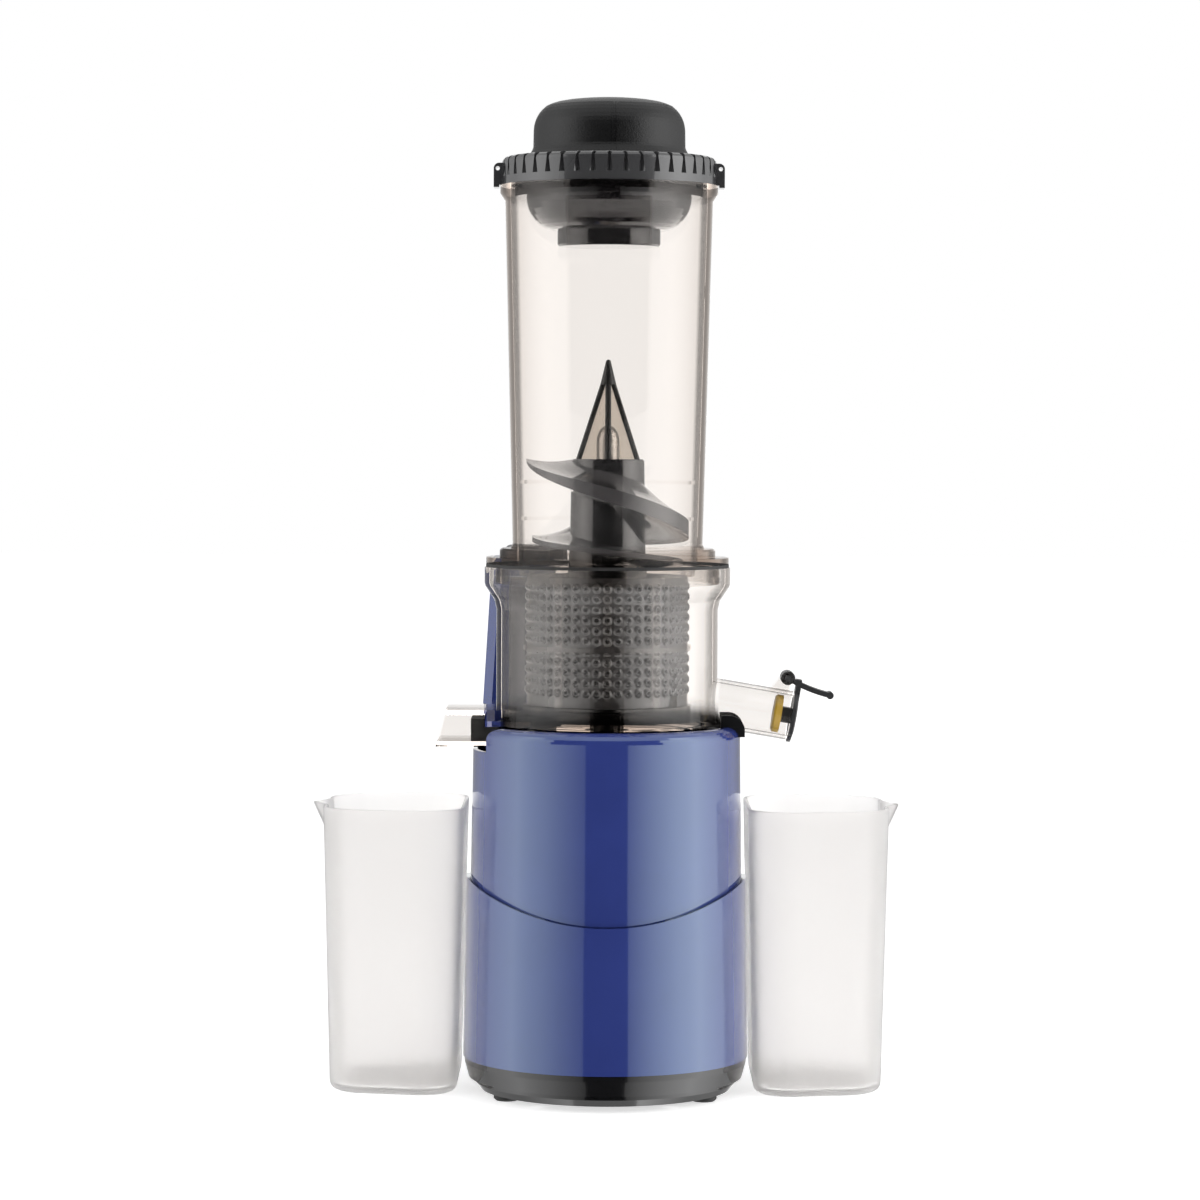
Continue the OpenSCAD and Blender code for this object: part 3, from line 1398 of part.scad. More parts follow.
// Side of the knob from its flare up, as (radius, height) points drawn out by some width
function knob_side(over, count) = concat(
    [for (i = [0:4]) [knob_r + knob_flare * pow(1 - i / 5, 2) + over, ring_top_z + knob_flare_h * i / 5]],
    [for (i = [0:count - 1]) [knob_r * knob_r_shares[i] + over, ring_top_z + knob_h * knob_z_shares[i]]]);

module pusher_knob() {
    spigot_low_z = ring_top_z - ring_h / 2;
    color([0.1, 0.1, 0.1]) in_frame() {
        lathe(concat([[0, spigot_low_z], [knob_spigot_r - fit, spigot_low_z], [knob_spigot_r - fit,
            ring_top_z]],
            knob_side(0, len(knob_r_shares)), [[0, knob_top_z]]));
        for (a = knob_rib_turns, s = [-1, 1]) rotate([0, 0, a + s * knob_rib_apart - knob_rib_angle / 2])
            rotate_extrude(angle = knob_rib_angle)
                polygon(concat(knob_side(knob_rib_d, knob_rib_points), reversed(knob_side(-edge,
                    knob_rib_points))));
    }
}

module plunger() {
    low_z = ring_z - plunger_h - plunger_plug_h;
    neck_z = low_z + plunger_h - plunger_dome_h;
    color([0.4, 0.4, 0.42]) in_frame()
        lathe(concat([[0, low_z], [plunger_low_r - edge, low_z], [plunger_low_r, low_z + edge],
        [plunger_low_r, neck_z]],
        [for (i = [0:8]) [plunger_low_r + (plunger_r - plunger_low_r) * sin(90 * i / 8),
            neck_z + plunger_dome_h * (1 - cos(90 * i / 8))]],
        [[plunger_plug_r, ring_z - plunger_plug_h], [plunger_plug_r, ring_z], [0, ring_z]]));
}

// The four corners of a cup's plan: the two next to the machine stand wider apart
module cup_corners() {
    for (s = [-1, 1]) {
        translate([cup_inner_r - cup_w / 2, s * (cup_d / 2 - cup_inner_r), 0]) children(0);
        translate([cup_w / 2 - cup_outer_r, s * (cup_d / 2 - cup_narrow - cup_outer_r), 0]) children(1);
    }
}

// Turned post of a corner radius, drawn in by an inset, from the height z0 to past the rim
module cup_post(r, inset, z0, over) {
    foot_r = r - cup_draft - inset;
    lathe(concat([[0, z0]], arc(foot_r - cup_corner, z0 + cup_corner, cup_corner, -90, 0, 3),
        [[r - inset, cup_h + over], [0, cup_h + over]]));
}

// Tapered solid over the four corners
module cup_solid(inset, z0, over) {
    hull() cup_corners() {
        cup_post(cup_inner_r, inset, z0, over);
        cup_post(cup_outer_r, inset, z0, over);
    }
}

// Cup with a pouring lip on the +X side
module cup() {
    color([0.9, 0.91, 0.93, 0.7]) in_frame() difference() {
        union() {
            cup_solid(0, 0, 0);
            cup_lip(0);
        }
        cup_solid(cup_wall, cup_floor, edge);
        cup_lip(cup_wall);
        translate([0, 0, -cut]) hull() cup_corners() {
            cylinder(r = cup_inner_r - cup_draft - 2 * cup_corner, h = cup_foot_recess + cut);
            cylinder(r = cup_outer_r - cup_draft - 2 * cup_corner, h = cup_foot_recess + cut);
        }
    }
}

// Wedge of the pouring lip, drawn in by the wall
module cup_lip(inset) {
    side_x = cup_w / 2 - cup_wall - inset;
    rim_z = cup_h - edge / 2;
    lip_h = edge / 2 + (inset > 0 ? edge : 0);
    hull() {
        translate([cup_w / 2 + cup_lip_reach - cup_wall - inset, 0, rim_z])
            cylinder(r = cup_wall, h = lip_h, $fn = 24);
        for (s = [-1, 1]) translate([side_x, s * (cup_lip_w / 2 - inset), rim_z])
            cylinder(r = edge / 2, h = lip_h, $fn = 24);
        translate([side_x, 0, cup_h - cup_lip_drop + inset]) sphere(r = edge / 2, $fn = 24);
    }
}

module juice_cup() {
    translate([cup_x, cup_y, 0]) cup();
}

module pulp_cup() {
    mirror([1, 0, 0]) translate([cup_x, cup_y, 0]) cup();
}

rubber_feet();
base_plate();
base_screws();
lower_shell();
upper_shell();
top_deck();
handle_shell();
handle_liner();
motor_can();
motor_magnets();
motor_end_cap();
gearbox_plate();
gearbox_cover();
gearbox_screws();
idler_pin();
output_bearings();
shaft_seal();
control_board();
switch_bezel();
switch_pin();
cord_gland();
bowl();
bowl_seal();
strainer_frame();
strainer_screen();
pulp_plug();
cap_pin();
motor_rotor();
cooling_fan();
idler_gear();
output_gear();
drive_shaft();
auger_bush();
auger();
auger_shaft_cap();
auger_tip();
tip_panels();
spout_cap();
spout_seal();
rocker_switch();
hopper();
lid_seal();
pusher_ring();
pusher_knob();
plunger();
juice_cup();
pulp_cup();
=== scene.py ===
import math
import bpy
import numpy as np
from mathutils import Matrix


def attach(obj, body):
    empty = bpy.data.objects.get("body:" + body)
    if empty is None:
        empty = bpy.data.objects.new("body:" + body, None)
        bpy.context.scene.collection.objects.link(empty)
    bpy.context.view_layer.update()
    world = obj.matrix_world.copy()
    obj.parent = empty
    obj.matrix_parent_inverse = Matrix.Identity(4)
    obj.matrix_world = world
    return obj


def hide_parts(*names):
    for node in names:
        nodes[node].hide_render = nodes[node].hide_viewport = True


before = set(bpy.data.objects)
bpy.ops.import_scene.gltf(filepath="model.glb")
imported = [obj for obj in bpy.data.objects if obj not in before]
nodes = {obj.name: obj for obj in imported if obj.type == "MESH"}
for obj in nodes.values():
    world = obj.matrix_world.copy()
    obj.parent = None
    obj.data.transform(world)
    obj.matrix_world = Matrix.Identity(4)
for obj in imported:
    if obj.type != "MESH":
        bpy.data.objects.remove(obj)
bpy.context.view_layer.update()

# Camera: it stands in front of the screw's axis, a little above the middle of the machine's height, and
# looks slightly down, as the photograph was taken. The long lens keeps the upright lines nearly parallel.
# The screw's axis stands axis_y from the frame's origin, which is the middle of the whole outline.
axis_y = -0.01516
camera_away, camera_side, camera_high = 1.67, -0.0035, 0.2835
camera_dip, camera_roll = 2.33, -0.26
film_w = 36.0
photo_w_px, lens_px = 1200, 3831
camera = bpy.data.objects.new("camera", bpy.data.cameras.new("camera"))
bpy.context.scene.collection.objects.link(camera)
camera.data.sensor_width = film_w
camera.data.lens = film_w * lens_px / photo_w_px
camera.data.clip_start = 0.05
camera.location = (camera_side, axis_y - camera_away, camera_high)
camera.rotation_euler = (math.radians(90 - camera_dip), math.radians(camera_roll), 0)
bpy.context.scene.camera = camera
bpy.context.scene.view_settings.view_transform = "Standard"


# Air of the studio: white to the camera, to mirrors and through clear walls, like a room lined with white
# paper, and a plain soft fill for everything else.
def node_of(tree, kind, **values):
    """Adds one node; each value goes to the attribute or the input socket of that name."""
    made = tree.nodes.new(kind)
    for name, value in values.items():
        if hasattr(made, name):
            setattr(made, name, value)
        else:
            made.inputs[name.replace("_", " ")].default_value = value
    return made


def math_of(tree, operation, *terms):
    """Result of a Math node whose terms are sockets or plain numbers."""
    made = node_of(tree, "ShaderNodeMath", operation=operation)
    for place, term in zip(made.inputs, terms):
        if isinstance(term, (int, float)):
            place.default_value = term
        else:
            tree.links.new(term, place)
    return made.outputs[0]


white_level, fill_level = 1.0, 0.6
world = bpy.data.worlds.new("studio")
bpy.context.scene.world = world
world.use_nodes = True
air = world.node_tree
air.nodes.clear()
path = node_of(air, "ShaderNodeLightPath")
seen = math_of(air, "MAXIMUM", path.outputs["Is Camera Ray"], path.outputs["Is Transmission Ray"])
seen = math_of(air, "MAXIMUM", seen, path.outputs["Is Glossy Ray"])
white = node_of(air, "ShaderNodeBackground", Color=(1, 1, 1, 1), Strength=white_level)
fill = node_of(air, "ShaderNodeBackground", Color=(1, 1, 1, 1), Strength=fill_level)
mixed = node_of(air, "ShaderNodeMixShader")
air.links.new(seen, mixed.inputs[0])
air.links.new(fill.outputs[0], mixed.inputs[1])
air.links.new(white.outputs[0], mixed.inputs[2])
out = node_of(air, "ShaderNodeOutputWorld")
air.links.new(mixed.outputs[0], out.inputs["Surface"])


# Softboxes and the dark gap between them. Two tall curved scrims stand at the left and the right, and a
# black cloth hangs between them round the camera, wider above the body's top than below it. They give the
# glossy pieces two pale sides and a dark upright middle.
def mesh_from_grid(name, points, close_u=False, close_v=False, flip=False, sharp=None):
    """Mesh over a grid of points with the shape (rows, columns, 3): each cell of the grid is one quad."""
    rows, cols = points.shape[:2]
    u = np.arange(rows if close_u else rows - 1)
    v = np.arange(cols if close_v else cols - 1)
    a, b = np.meshgrid(u, v, indexing="ij")
    a1, b1 = (a + 1) % rows, (b + 1) % cols
    quads = np.stack([a * cols + b, a1 * cols + b, a1 * cols + b1, a * cols + b1], -1).reshape(-1, 4)
    if flip:
        quads = quads[:, ::-1]
    mesh = bpy.data.meshes.new(name)
    mesh.vertices.add(rows * cols)
    mesh.vertices.foreach_set("co", points.reshape(-1, 3).astype(np.float32).ravel())
    mesh.loops.add(quads.size)
    mesh.loops.foreach_set("vertex_index", quads.astype(np.int32).ravel())
    mesh.polygons.add(len(quads))
    mesh.polygons.foreach_set("loop_start", np.arange(0, quads.size, 4, dtype=np.int32))
    mesh.polygons.foreach_set("use_smooth", np.ones(len(quads), bool))
    mesh.update(calc_edges=True)
    if sharp:
        mesh.set_sharp_from_angle(angle=math.radians(sharp))
    made = bpy.data.objects.new(name, mesh)
    bpy.context.scene.collection.objects.link(made)
    return made


scrim_r = 1.45
scrim_end = 165
heights = np.array([-5.0, -0.6, 0.0, 0.14, 0.2, 0.234, 0.248, 0.3, 0.45, 0.6, 1.0, 1.5])
gap_edge = np.interp(heights, [0.234, 0.248], [17.5, 48])
right_turns = [17, 40, 60, 80, 102, 120, 150]
right_levels = [0.6, 1.75, 2.6, 3.0, 1.8, 0.9, 0.35]
left_turns = [17, 35, 52, 80, 120, 150]
left_levels = [0.4, 0.9, 1.45, 2.1, 0.7, 0.35]
cloth_level = 0.02


def glow_of(name):
    """Light of the strength that the mesh holds in its level; it is 1 to what looks straight through clear
    walls."""
    glow = bpy.data.materials.new(name)
    glow.use_nodes = True
    tree = glow.node_tree
    tree.nodes.clear()
    level = node_of(tree, "ShaderNodeAttribute", attribute_name="level")
    rays = node_of(tree, "ShaderNodeLightPath")
    plain = math_of(tree, "LESS_THAN", rays.outputs["Glossy Depth"], 0.5)
    through = math_of(tree, "MULTIPLY", plain, rays.outputs["Is Transmission Ray"])
    strength = node_of(tree, "ShaderNodeMix", data_type="FLOAT")
    tree.links.new(through, strength.inputs["Factor"])
    tree.links.new(level.outputs["Fac"], strength.inputs["A"])
    strength.inputs["B"].default_value = white_level
    light = node_of(tree, "ShaderNodeEmission")
    tree.links.new(strength.outputs["Result"], light.inputs["Strength"])
    end = node_of(tree, "ShaderNodeOutputMaterial")
    tree.links.new(light.outputs[0], end.inputs["Surface"])
    return glow


def scrim(name, turns, levels):
    """Upright part of a cylinder round the machine: turns are angles from the camera, one row for each
    height."""
    turn = np.radians(turns)
    high = np.broadcast_to(heights[:, None], turn.shape)
    points = np.stack([scrim_r * np.sin(turn), axis_y - scrim_r * np.cos(turn), high], -1)
    made = mesh_from_grid(name, points)
    stored = made.data.attributes.new("level", "FLOAT", "POINT")
    stored.data.foreach_set("value", levels.astype(np.float32).ravel())
    made.data.materials.append(glow_of(name))
    made.visible_camera = False
    made.visible_shadow = False
    return made


side_turns = gap_edge[:, None] + (scrim_end - gap_edge[:, None]) * np.linspace(0, 1, 48)[None, :]
scrim("scrim_right", side_turns, np.interp(side_turns, right_turns, right_levels))
scrim("scrim_left", -side_turns, np.interp(side_turns, left_turns, left_levels))
middle_turns = gap_edge[:, None] * np.linspace(-1, 1, 9)[None, :]
cloth = scrim("black_cloth", middle_turns, np.full(middle_turns.shape, cloth_level))
cloth.visible_diffuse = False

# Pale floor under the machine: white to the camera and through clear walls, with the soft shadow round the
# feet kept. Glossy pieces don't mirror it.
floor_white, floor_glow = 0.9, 0.62
floor_points = np.stack(np.meshgrid(np.linspace(-6, 6, 3), np.linspace(-4, 8, 3), [0.0], indexing="ij"), -1)
floor = mesh_from_grid("floor", floor_points[:, :, 0])
paint = bpy.data.materials.new("floor_paint")
paint.use_nodes = True
tree = paint.node_tree
tree.nodes.clear()
matte = node_of(tree, "ShaderNodeBsdfDiffuse", Color=(floor_white, floor_white, floor_white, 1))
bright = node_of(tree, "ShaderNodeEmission", Strength=floor_glow)
rays = node_of(tree, "ShaderNodeLightPath")
shown = math_of(tree, "MAXIMUM", rays.outputs["Is Camera Ray"], rays.outputs["Is Transmission Ray"])
dark = node_of(tree, "ShaderNodeBsdfDiffuse", Color=(0, 0, 0, 1))
lift = node_of(tree, "ShaderNodeMixShader")
tree.links.new(shown, lift.inputs[0])
tree.links.new(dark.outputs[0], lift.inputs[1])
tree.links.new(bright.outputs[0], lift.inputs[2])
both = node_of(tree, "ShaderNodeAddShader")
tree.links.new(matte.outputs[0], both.inputs[0])
tree.links.new(lift.outputs[0], both.inputs[1])
end = node_of(tree, "ShaderNodeOutputMaterial")
tree.links.new(both.outputs[0], end.inputs["Surface"])
floor.data.materials.append(paint)
floor.visible_glossy = False


# Rubber feet, seals, cord gland and pulp plug: black moulded rubber with a fine dull grain. The feet sit in
# recesses of the base plate, the gland in a hole of the lower shell, the seals in their grooves, and the
# plug in its chute.
def blend_of(tree, source, low_color, high_color, start=0.0, stop=1.0):
    """Colour that goes from the low one to the high one while the source goes from start to stop."""
    blend = node_of(tree, "ShaderNodeValToRGB")
    low, high = blend.color_ramp.elements
    low.color, high.color = tuple(low_color) + (1,), tuple(high_color) + (1,)
    low.position, high.position = start, stop
    tree.links.new(source, blend.inputs["Fac"])
    return blend.outputs["Color"]


def polish_of(tree, source, rough, share):
    """Roughness that varies by this share of itself with the source."""
    polish = node_of(tree, "ShaderNodeMapRange", To_Min=rough * (1 - share), To_Max=rough * (1 + share))
    tree.links.new(source, polish.inputs["Value"])
    return polish.outputs[0]


def moulded(name, color, rough, grain=900, depth=0.1, coat=0.0, metal=0.0, sheen=0.5, glint=(1, 1, 1)):
    """Moulded plastic, rubber or metal: colour and polish that vary a little in soft patches, over a fine
    grain."""
    patches_per_m, mottle, grain_height = 28.0, 0.04, 0.0002
    mat = bpy.data.materials.new(name)
    mat.use_nodes = True
    tree = mat.node_tree
    skin = tree.nodes["Principled BSDF"]
    where = node_of(tree, "ShaderNodeTexCoord").outputs["Object"]
    patches = node_of(tree, "ShaderNodeTexNoise", Scale=patches_per_m, Detail=3.0)
    tree.links.new(where, patches.inputs["Vector"])
    patch = patches.outputs["Fac"]
    darker = [c * (1 - mottle) for c in color]
    lighter = [min(1, c * (1 + mottle)) for c in color]
    tree.links.new(blend_of(tree, patch, darker, lighter, 0.35, 0.65), skin.inputs["Base Color"])
    tree.links.new(polish_of(tree, patch, rough, 0.1), skin.inputs["Roughness"])
    pores = node_of(tree, "ShaderNodeTexNoise", Scale=float(grain), Detail=2.0)
    tree.links.new(where, pores.inputs["Vector"])
    bump = node_of(tree, "ShaderNodeBump", Strength=depth, Distance=grain_height)
    tree.links.new(pores.outputs["Fac"], bump.inputs["Height"])
    tree.links.new(bump.outputs["Normal"], skin.inputs["Normal"])
    skin.inputs["Coat Weight"].default_value = coat
    skin.inputs["Coat Roughness"].default_value = 0.03
    skin.inputs["Metallic"].default_value = metal
    skin.inputs["Specular IOR Level"].default_value = sheen
    skin.inputs["Specular Tint"].default_value = glint + (1,)
    return mat


def dress(mat, *names):
    """Gives each CAD node this material on all its faces."""
    for name in names:
        data = nodes[name].data
        data.materials.clear()
        data.materials.append(mat)
        data.polygons.foreach_set("material_index", np.zeros(len(data.polygons), np.int32))


black_rubber = moulded("black_rubber", (0.02, 0.02, 0.02), 0.6, grain=1600, depth=0.25)
dress(black_rubber, "rubber_feet", "cord_gland", "shaft_seal", "bowl_seal", "lid_seal", "pulp_plug")

# Base plate: a glossy black moulded dish that closes the body from below. Its zinc-plated screws go up into
# the posts of the lower shell, and like ones hold the gearbox.
black_gloss = moulded("black_gloss", (0.008, 0.008, 0.009), 0.12, grain=420, depth=0.01, coat=0.5)
dress(black_gloss, "base_plate")
zinc = moulded("zinc", (0.6, 0.6, 0.61), 0.3, grain=900, depth=0.1, metal=1.0)
dress(zinc, "base_screws", "gearbox_screws")

# Blue shells: glossy plastic moulded in two pieces that lap along the wavy seam, and the carrying handle's
# shell of the same plastic, fixed to the upper one at the rear left. They have a polished clear skin.
blue_gloss = moulded("blue_gloss", (0.0325, 0.051, 0.238), 0.1, grain=300, depth=0.01, coat=1.0, sheen=0.65,
                     glint=(0.68, 1, 1))
dress(blue_gloss, "lower_shell", "upper_shell", "handle_shell")

# Motor: a rolled steel can with ferrite magnets glued inside, closed by its end cap, and a rotor wound with
# copper wire. The steel plate and shaft of the gearbox, its pin and bearings are of the same bright steel.
steel = moulded("steel", (0.55, 0.55, 0.56), 0.28, grain=1200, depth=0.15, metal=1.0)
dress(steel, "motor_can", "motor_end_cap", "gearbox_plate", "idler_pin", "output_bearings", "drive_shaft")
dress(moulded("ferrite", (0.06, 0.06, 0.065), 0.55, grain=1800, depth=0.3), "motor_magnets")
dress(moulded("copper", (0.72, 0.33, 0.16), 0.35, grain=1500, depth=0.3, metal=1.0), "motor_rotor")

# Fan, gearbox cover and switch bezel: grained black plastic. The fan is pressed on the motor's shaft, the
# cover is screwed over the gears, and the bezel is clipped into the lower shell at the back.
dark_grain = moulded("dark_grain", (0.02, 0.02, 0.021), 0.45, grain=2200, depth=0.4)
dress(dark_grain, "cooling_fan", "gearbox_cover", "switch_bezel")

# Control board and switch: the green board stands in its posts beside the motor. The rocker is a glossy
# black moulding that turns on a steel pin in the bezel.
dress(moulded("board_green", (0.02, 0.16, 0.05), 0.4, grain=900, depth=0.1), "control_board")
dress(black_gloss, "rocker_switch")
dress(steel, "switch_pin")

# Gears: two moulded nylon gears, cream coloured and slightly waxy, that slow the motor down to the screw's
# speed. The idler runs on its pin, and the output gear sits on the drive shaft.
dress(moulded("nylon", (0.7, 0.66, 0.52), 0.4, grain=900, depth=0.1), "idler_gear", "output_gear")

# Top deck: the black moulding that closes the body from above, finely grained, with the well that the bowl
# stands in and the saddle under the juice spout.
dress(moulded("deck_black", (0.01, 0.01, 0.011), 0.5, grain=1800, depth=0.3, sheen=0.08), "top_deck")

# Handle liner: a dark grey moulding that closes the handle's inner side and its free end. It is snapped
# into the blue shell of the handle.
dress(moulded("liner_grey", (0.11, 0.11, 0.12), 0.3, grain=1500, depth=0.15), "handle_liner")


# Bowl: one piece of smoke-clear plastic with the spout and the pulp chute. Its tint is in the plastic
# itself, so a wall is pale where it is seen face on, and dark where the sight runs a long way inside it.
# Its colour also holds painted shade: dark lines along the walls' outlines, and a dark foot in the deck's
# well.
def ramp_of(tree, source, stops):
    """Grey level along the given pairs of place and level."""
    ramp = node_of(tree, "ShaderNodeValToRGB")
    marks = ramp.color_ramp.elements
    marks.remove(marks[-1])
    while len(marks) < len(stops):
        marks.new(1.0)
    for mark, (place, level) in zip(marks, stops):
        mark.position = place
        mark.color = (level, level, level, 1)
    tree.links.new(source, ramp.inputs["Fac"])
    return ramp.outputs["Color"]


def smoked(name, tint, density, rough=0.004, painted_edge_shade=0.7, coat=0.5, height_tint_and_painted_shade=((0.0, 1.0),),
           arm_r=1.0, arm_top=0.218, arm_tone=0.93, arm_edge_shade_power=1.0):
    """Clear plastic with a polished skin. Its tint deepens with the way through it: each metre takes
    density times (1 - tint) of the light, as an exponent. A wall seen at about 20 degrees is darkened to a
    given level: painted shade for the dark line that refraction draws near a clear wall's outline. The
    height pairs give a height and the level of the colour there: painted shade at the bowl's foot and on
    the tube's rim under the pusher's ring, and a darker colour for the hopper's lid. Past arm_r from the
    axis and below arm_top those don't count: there the level is arm_tone, and the painted shade at the
    outlines is deepened by the arm's exponent."""
    clear_ior, skin_ior, skin_rough = 1.004, 1.5, 0.01
    warm_white, hazes_per_m = (1, 0.985, 0.97), 30.0
    mat = bpy.data.materials.new(name)
    mat.use_nodes = True
    tree = mat.node_tree
    skin = tree.nodes["Principled BSDF"]
    skin.inputs["Transmission Weight"].default_value = 1.0
    skin.inputs["IOR"].default_value = clear_ior
    skin.inputs["Coat Weight"].default_value = coat
    skin.inputs["Coat IOR"].default_value = skin_ior
    skin.inputs["Coat Roughness"].default_value = skin_rough
    where = node_of(tree, "ShaderNodeTexCoord").outputs["Object"]
    flat = node_of(tree, "ShaderNodeMapping", Location=(0, -axis_y, 0), Scale=(1, 1, 0))
    tree.links.new(where, flat.inputs["Vector"])
    away = node_of(tree, "ShaderNodeVectorMath", operation="LENGTH")
    tree.links.new(flat.outputs[0], away.inputs[0])
    part = node_of(tree, "ShaderNodeSeparateXYZ")
    tree.links.new(where, part.inputs[0])
    beyond = math_of(tree, "GREATER_THAN", away.outputs["Value"], arm_r)
    under = math_of(tree, "LESS_THAN", part.outputs["Z"], arm_top)
    on_arm = math_of(tree, "MULTIPLY", beyond, under)
    # Painted shade: the colour darkens where a wall is seen at a slant, for the dark line that refraction
    # draws near its outline; on the spout and chute an exponent deepens it.
    facing = node_of(tree, "ShaderNodeLayerWeight", Blend=0.5)
    painted_edge = ramp_of(tree, facing.outputs["Facing"],
                   ((0.0, 1), (0.6, 1), (0.69, painted_edge_shade), (0.76, painted_edge_shade), (0.85, 0.5 + painted_edge_shade / 2)))
    power = math_of(tree, "MULTIPLY_ADD", on_arm, arm_edge_shade_power - 1, 1)
    # Colour by height: painted shade at the bowl's foot and on the tube's rim under the pusher's ring, and
    # a darker lid.
    tone = node_of(tree, "ShaderNodeMix", data_type="FLOAT")
    tree.links.new(on_arm, tone.inputs["Factor"])
    tree.links.new(ramp_of(tree, part.outputs["Z"], height_tint_and_painted_shade), tone.inputs["A"])
    tone.inputs["B"].default_value = arm_tone
    level = math_of(tree, "MULTIPLY", math_of(tree, "POWER", painted_edge, power), tone.outputs["Result"])
    warm = node_of(tree, "ShaderNodeVectorMath", operation="SCALE")
    warm.inputs[0].default_value = warm_white
    tree.links.new(level, warm.inputs["Scale"])
    tree.links.new(warm.outputs[0], skin.inputs["Base Color"])
    haze = node_of(tree, "ShaderNodeTexNoise", Scale=hazes_per_m, Detail=2.0)
    tree.links.new(where, haze.inputs["Vector"])
    tree.links.new(polish_of(tree, haze.outputs["Fac"], rough, 0.2), skin.inputs["Roughness"])
    inside = node_of(tree, "ShaderNodeVolumeAbsorption", Color=tint + (1,), Density=density)
    tree.links.new(inside.outputs[0], tree.nodes["Material Output"].inputs["Volume"])
    return mat


# Painted shade: the bowl's colour is darkened below 0.172 m, at its foot in the deck's well.
bowl_foot_painted_shade = ((0.0, 0.1), (0.1645, 0.1), (0.166, 0.65), (0.172, 1.0))
smoke_bowl = smoked("smoke_bowl", (0.56, 0.5, 0.45), 42.0, height_tint_and_painted_shade=bowl_foot_painted_shade, arm_r=0.0497, arm_edge_shade_power=2.4)
dress(smoke_bowl, "bowl", "strainer_frame")


# Strainer screen: a thin dark smoke wall in the clear frame of the basket, moulded with rows of raised
# cones. Each cone has a small hole at its middle, that the juice leaves by.
screen_r, screen_t = 0.035, 0.0009
screen_low, screen_high, screen_band = 0.170, 0.22625, 0.195
cone_cols, cone_pitch, cone_steps = 48, 0.0045, 10
cone_rise, cone_ring_r, cone_ring_w = 0.0009, 0.0010, 0.0005
hole_drop, hole_r, hole_slope = 0.0010, 0.00085, 0.0004


def cone_height(turn, high):
    """Distance of the wall from the screen's cylinder: a ring-shaped rise round each hole, as a bell curve
    of the distance from the hole, and a dip with straight sides at its middle. The ends and one band stay
    plain."""
    across = (turn * cone_cols / (2 * np.pi) + 0.5) % 1 - 0.5
    up = ((high - screen_low) / cone_pitch) % 1 - 0.5
    away = np.hypot(across * 2 * np.pi * screen_r / cone_cols, up * cone_pitch)
    rise = cone_rise * np.exp(-((away - cone_ring_r) / cone_ring_w) ** 2)
    dip = hole_drop * np.clip((hole_r - away) / hole_slope, 0, 1)
    inside = (high > screen_low + cone_pitch * 0.9) & (high < screen_high - cone_pitch * 0.4)
    band = np.abs(high - screen_band) < cone_pitch * 0.3
    return np.where(inside & ~band, rise - dip, 0.0)


turns = np.linspace(0, 2 * np.pi, cone_cols * cone_steps, endpoint=False)[None, :]
level_count = int((screen_high - screen_low) / cone_pitch * cone_steps)
levels = np.linspace(screen_low, screen_high, level_count)[:, None]
inner_levels = np.linspace(screen_high, screen_low, 6)[:, None]
inner = np.full((len(inner_levels), turns.size), screen_r - screen_t)
radii = np.concatenate([screen_r + cone_height(turns, levels), inner])
highs = np.concatenate([levels, inner_levels]) + 0 * turns
wall = np.stack([radii * np.cos(turns), radii * np.sin(turns) + axis_y, highs], -1)
cone_screen = mesh_from_grid("cone_screen", wall, close_u=True, close_v=True, flip=True)
smoke_grey = moulded("smoke_grey", (0.04, 0.038, 0.038), 0.1, grain=500, depth=0.01, coat=1.0)
cone_screen.data.materials.append(smoke_grey)
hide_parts("strainer_screen")
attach(cone_screen, "base")


# Screw: one moulding of dark grey plastic, with a hub, the wide blade in the tube, and an even thread below
# it. A steel bush in its bore takes the drive shaft's hexagon, and a bullet-shaped steel cap stands on its
# top.
def smooth_between(x, places, values):
    """Smooth curve through the given values: cubic pieces whose slopes are the mean of their
    neighbours'."""
    places, values = np.asarray(places, float), np.asarray(values, float)
    slopes = np.gradient(values, places)
    i = np.clip(np.searchsorted(places, x) - 1, 0, len(places) - 2)
    run = places[i + 1] - places[i]
    t = np.clip((x - places[i]) / run, 0, 1)
    return ((1 + 2 * t) * (1 - t) ** 2 * values[i] + t * (1 - t) ** 2 * run * slopes[i]
            + t * t * (3 - 2 * t) * values[i + 1] - t * t * (1 - t) * run * slopes[i + 1])


hub_low_r, hub_mid_r, hub_top_r = 0.022, 0.0166, 0.0159
hub_foot_z, hub_mid_z, hub_top_z = 0.1671, 0.236, 0.277
hub_bore_r, hub_face_r, hub_edge_r, hub_bevel, hub_side_z = 0.0104, 0.0212, 0.0219, 0.0006, 0.169
blade_r, flight_r, blade_drop, flight_pitch = 0.0356, 0.033, 0.040, 0.021
thread_turns, thread_root_h, thread_rim_drop, thread_rim_h = 2.6, 0.0066, 0.0022, 0.0022
thread_start, flight_sink, flight_bow = 0.78, 0.0015, 0.0012
quarters = [0, 90, 180, 270, 360]
blade_reach = np.array([1, 0.6, 0.95, 0.4, 0])


def hub_r(z):
    """Radius of the hub at the height z: straight from foot to middle, and from middle to top."""
    return np.interp(z, [hub_foot_z, hub_mid_z, hub_top_z], [hub_low_r, hub_mid_r, hub_top_r])


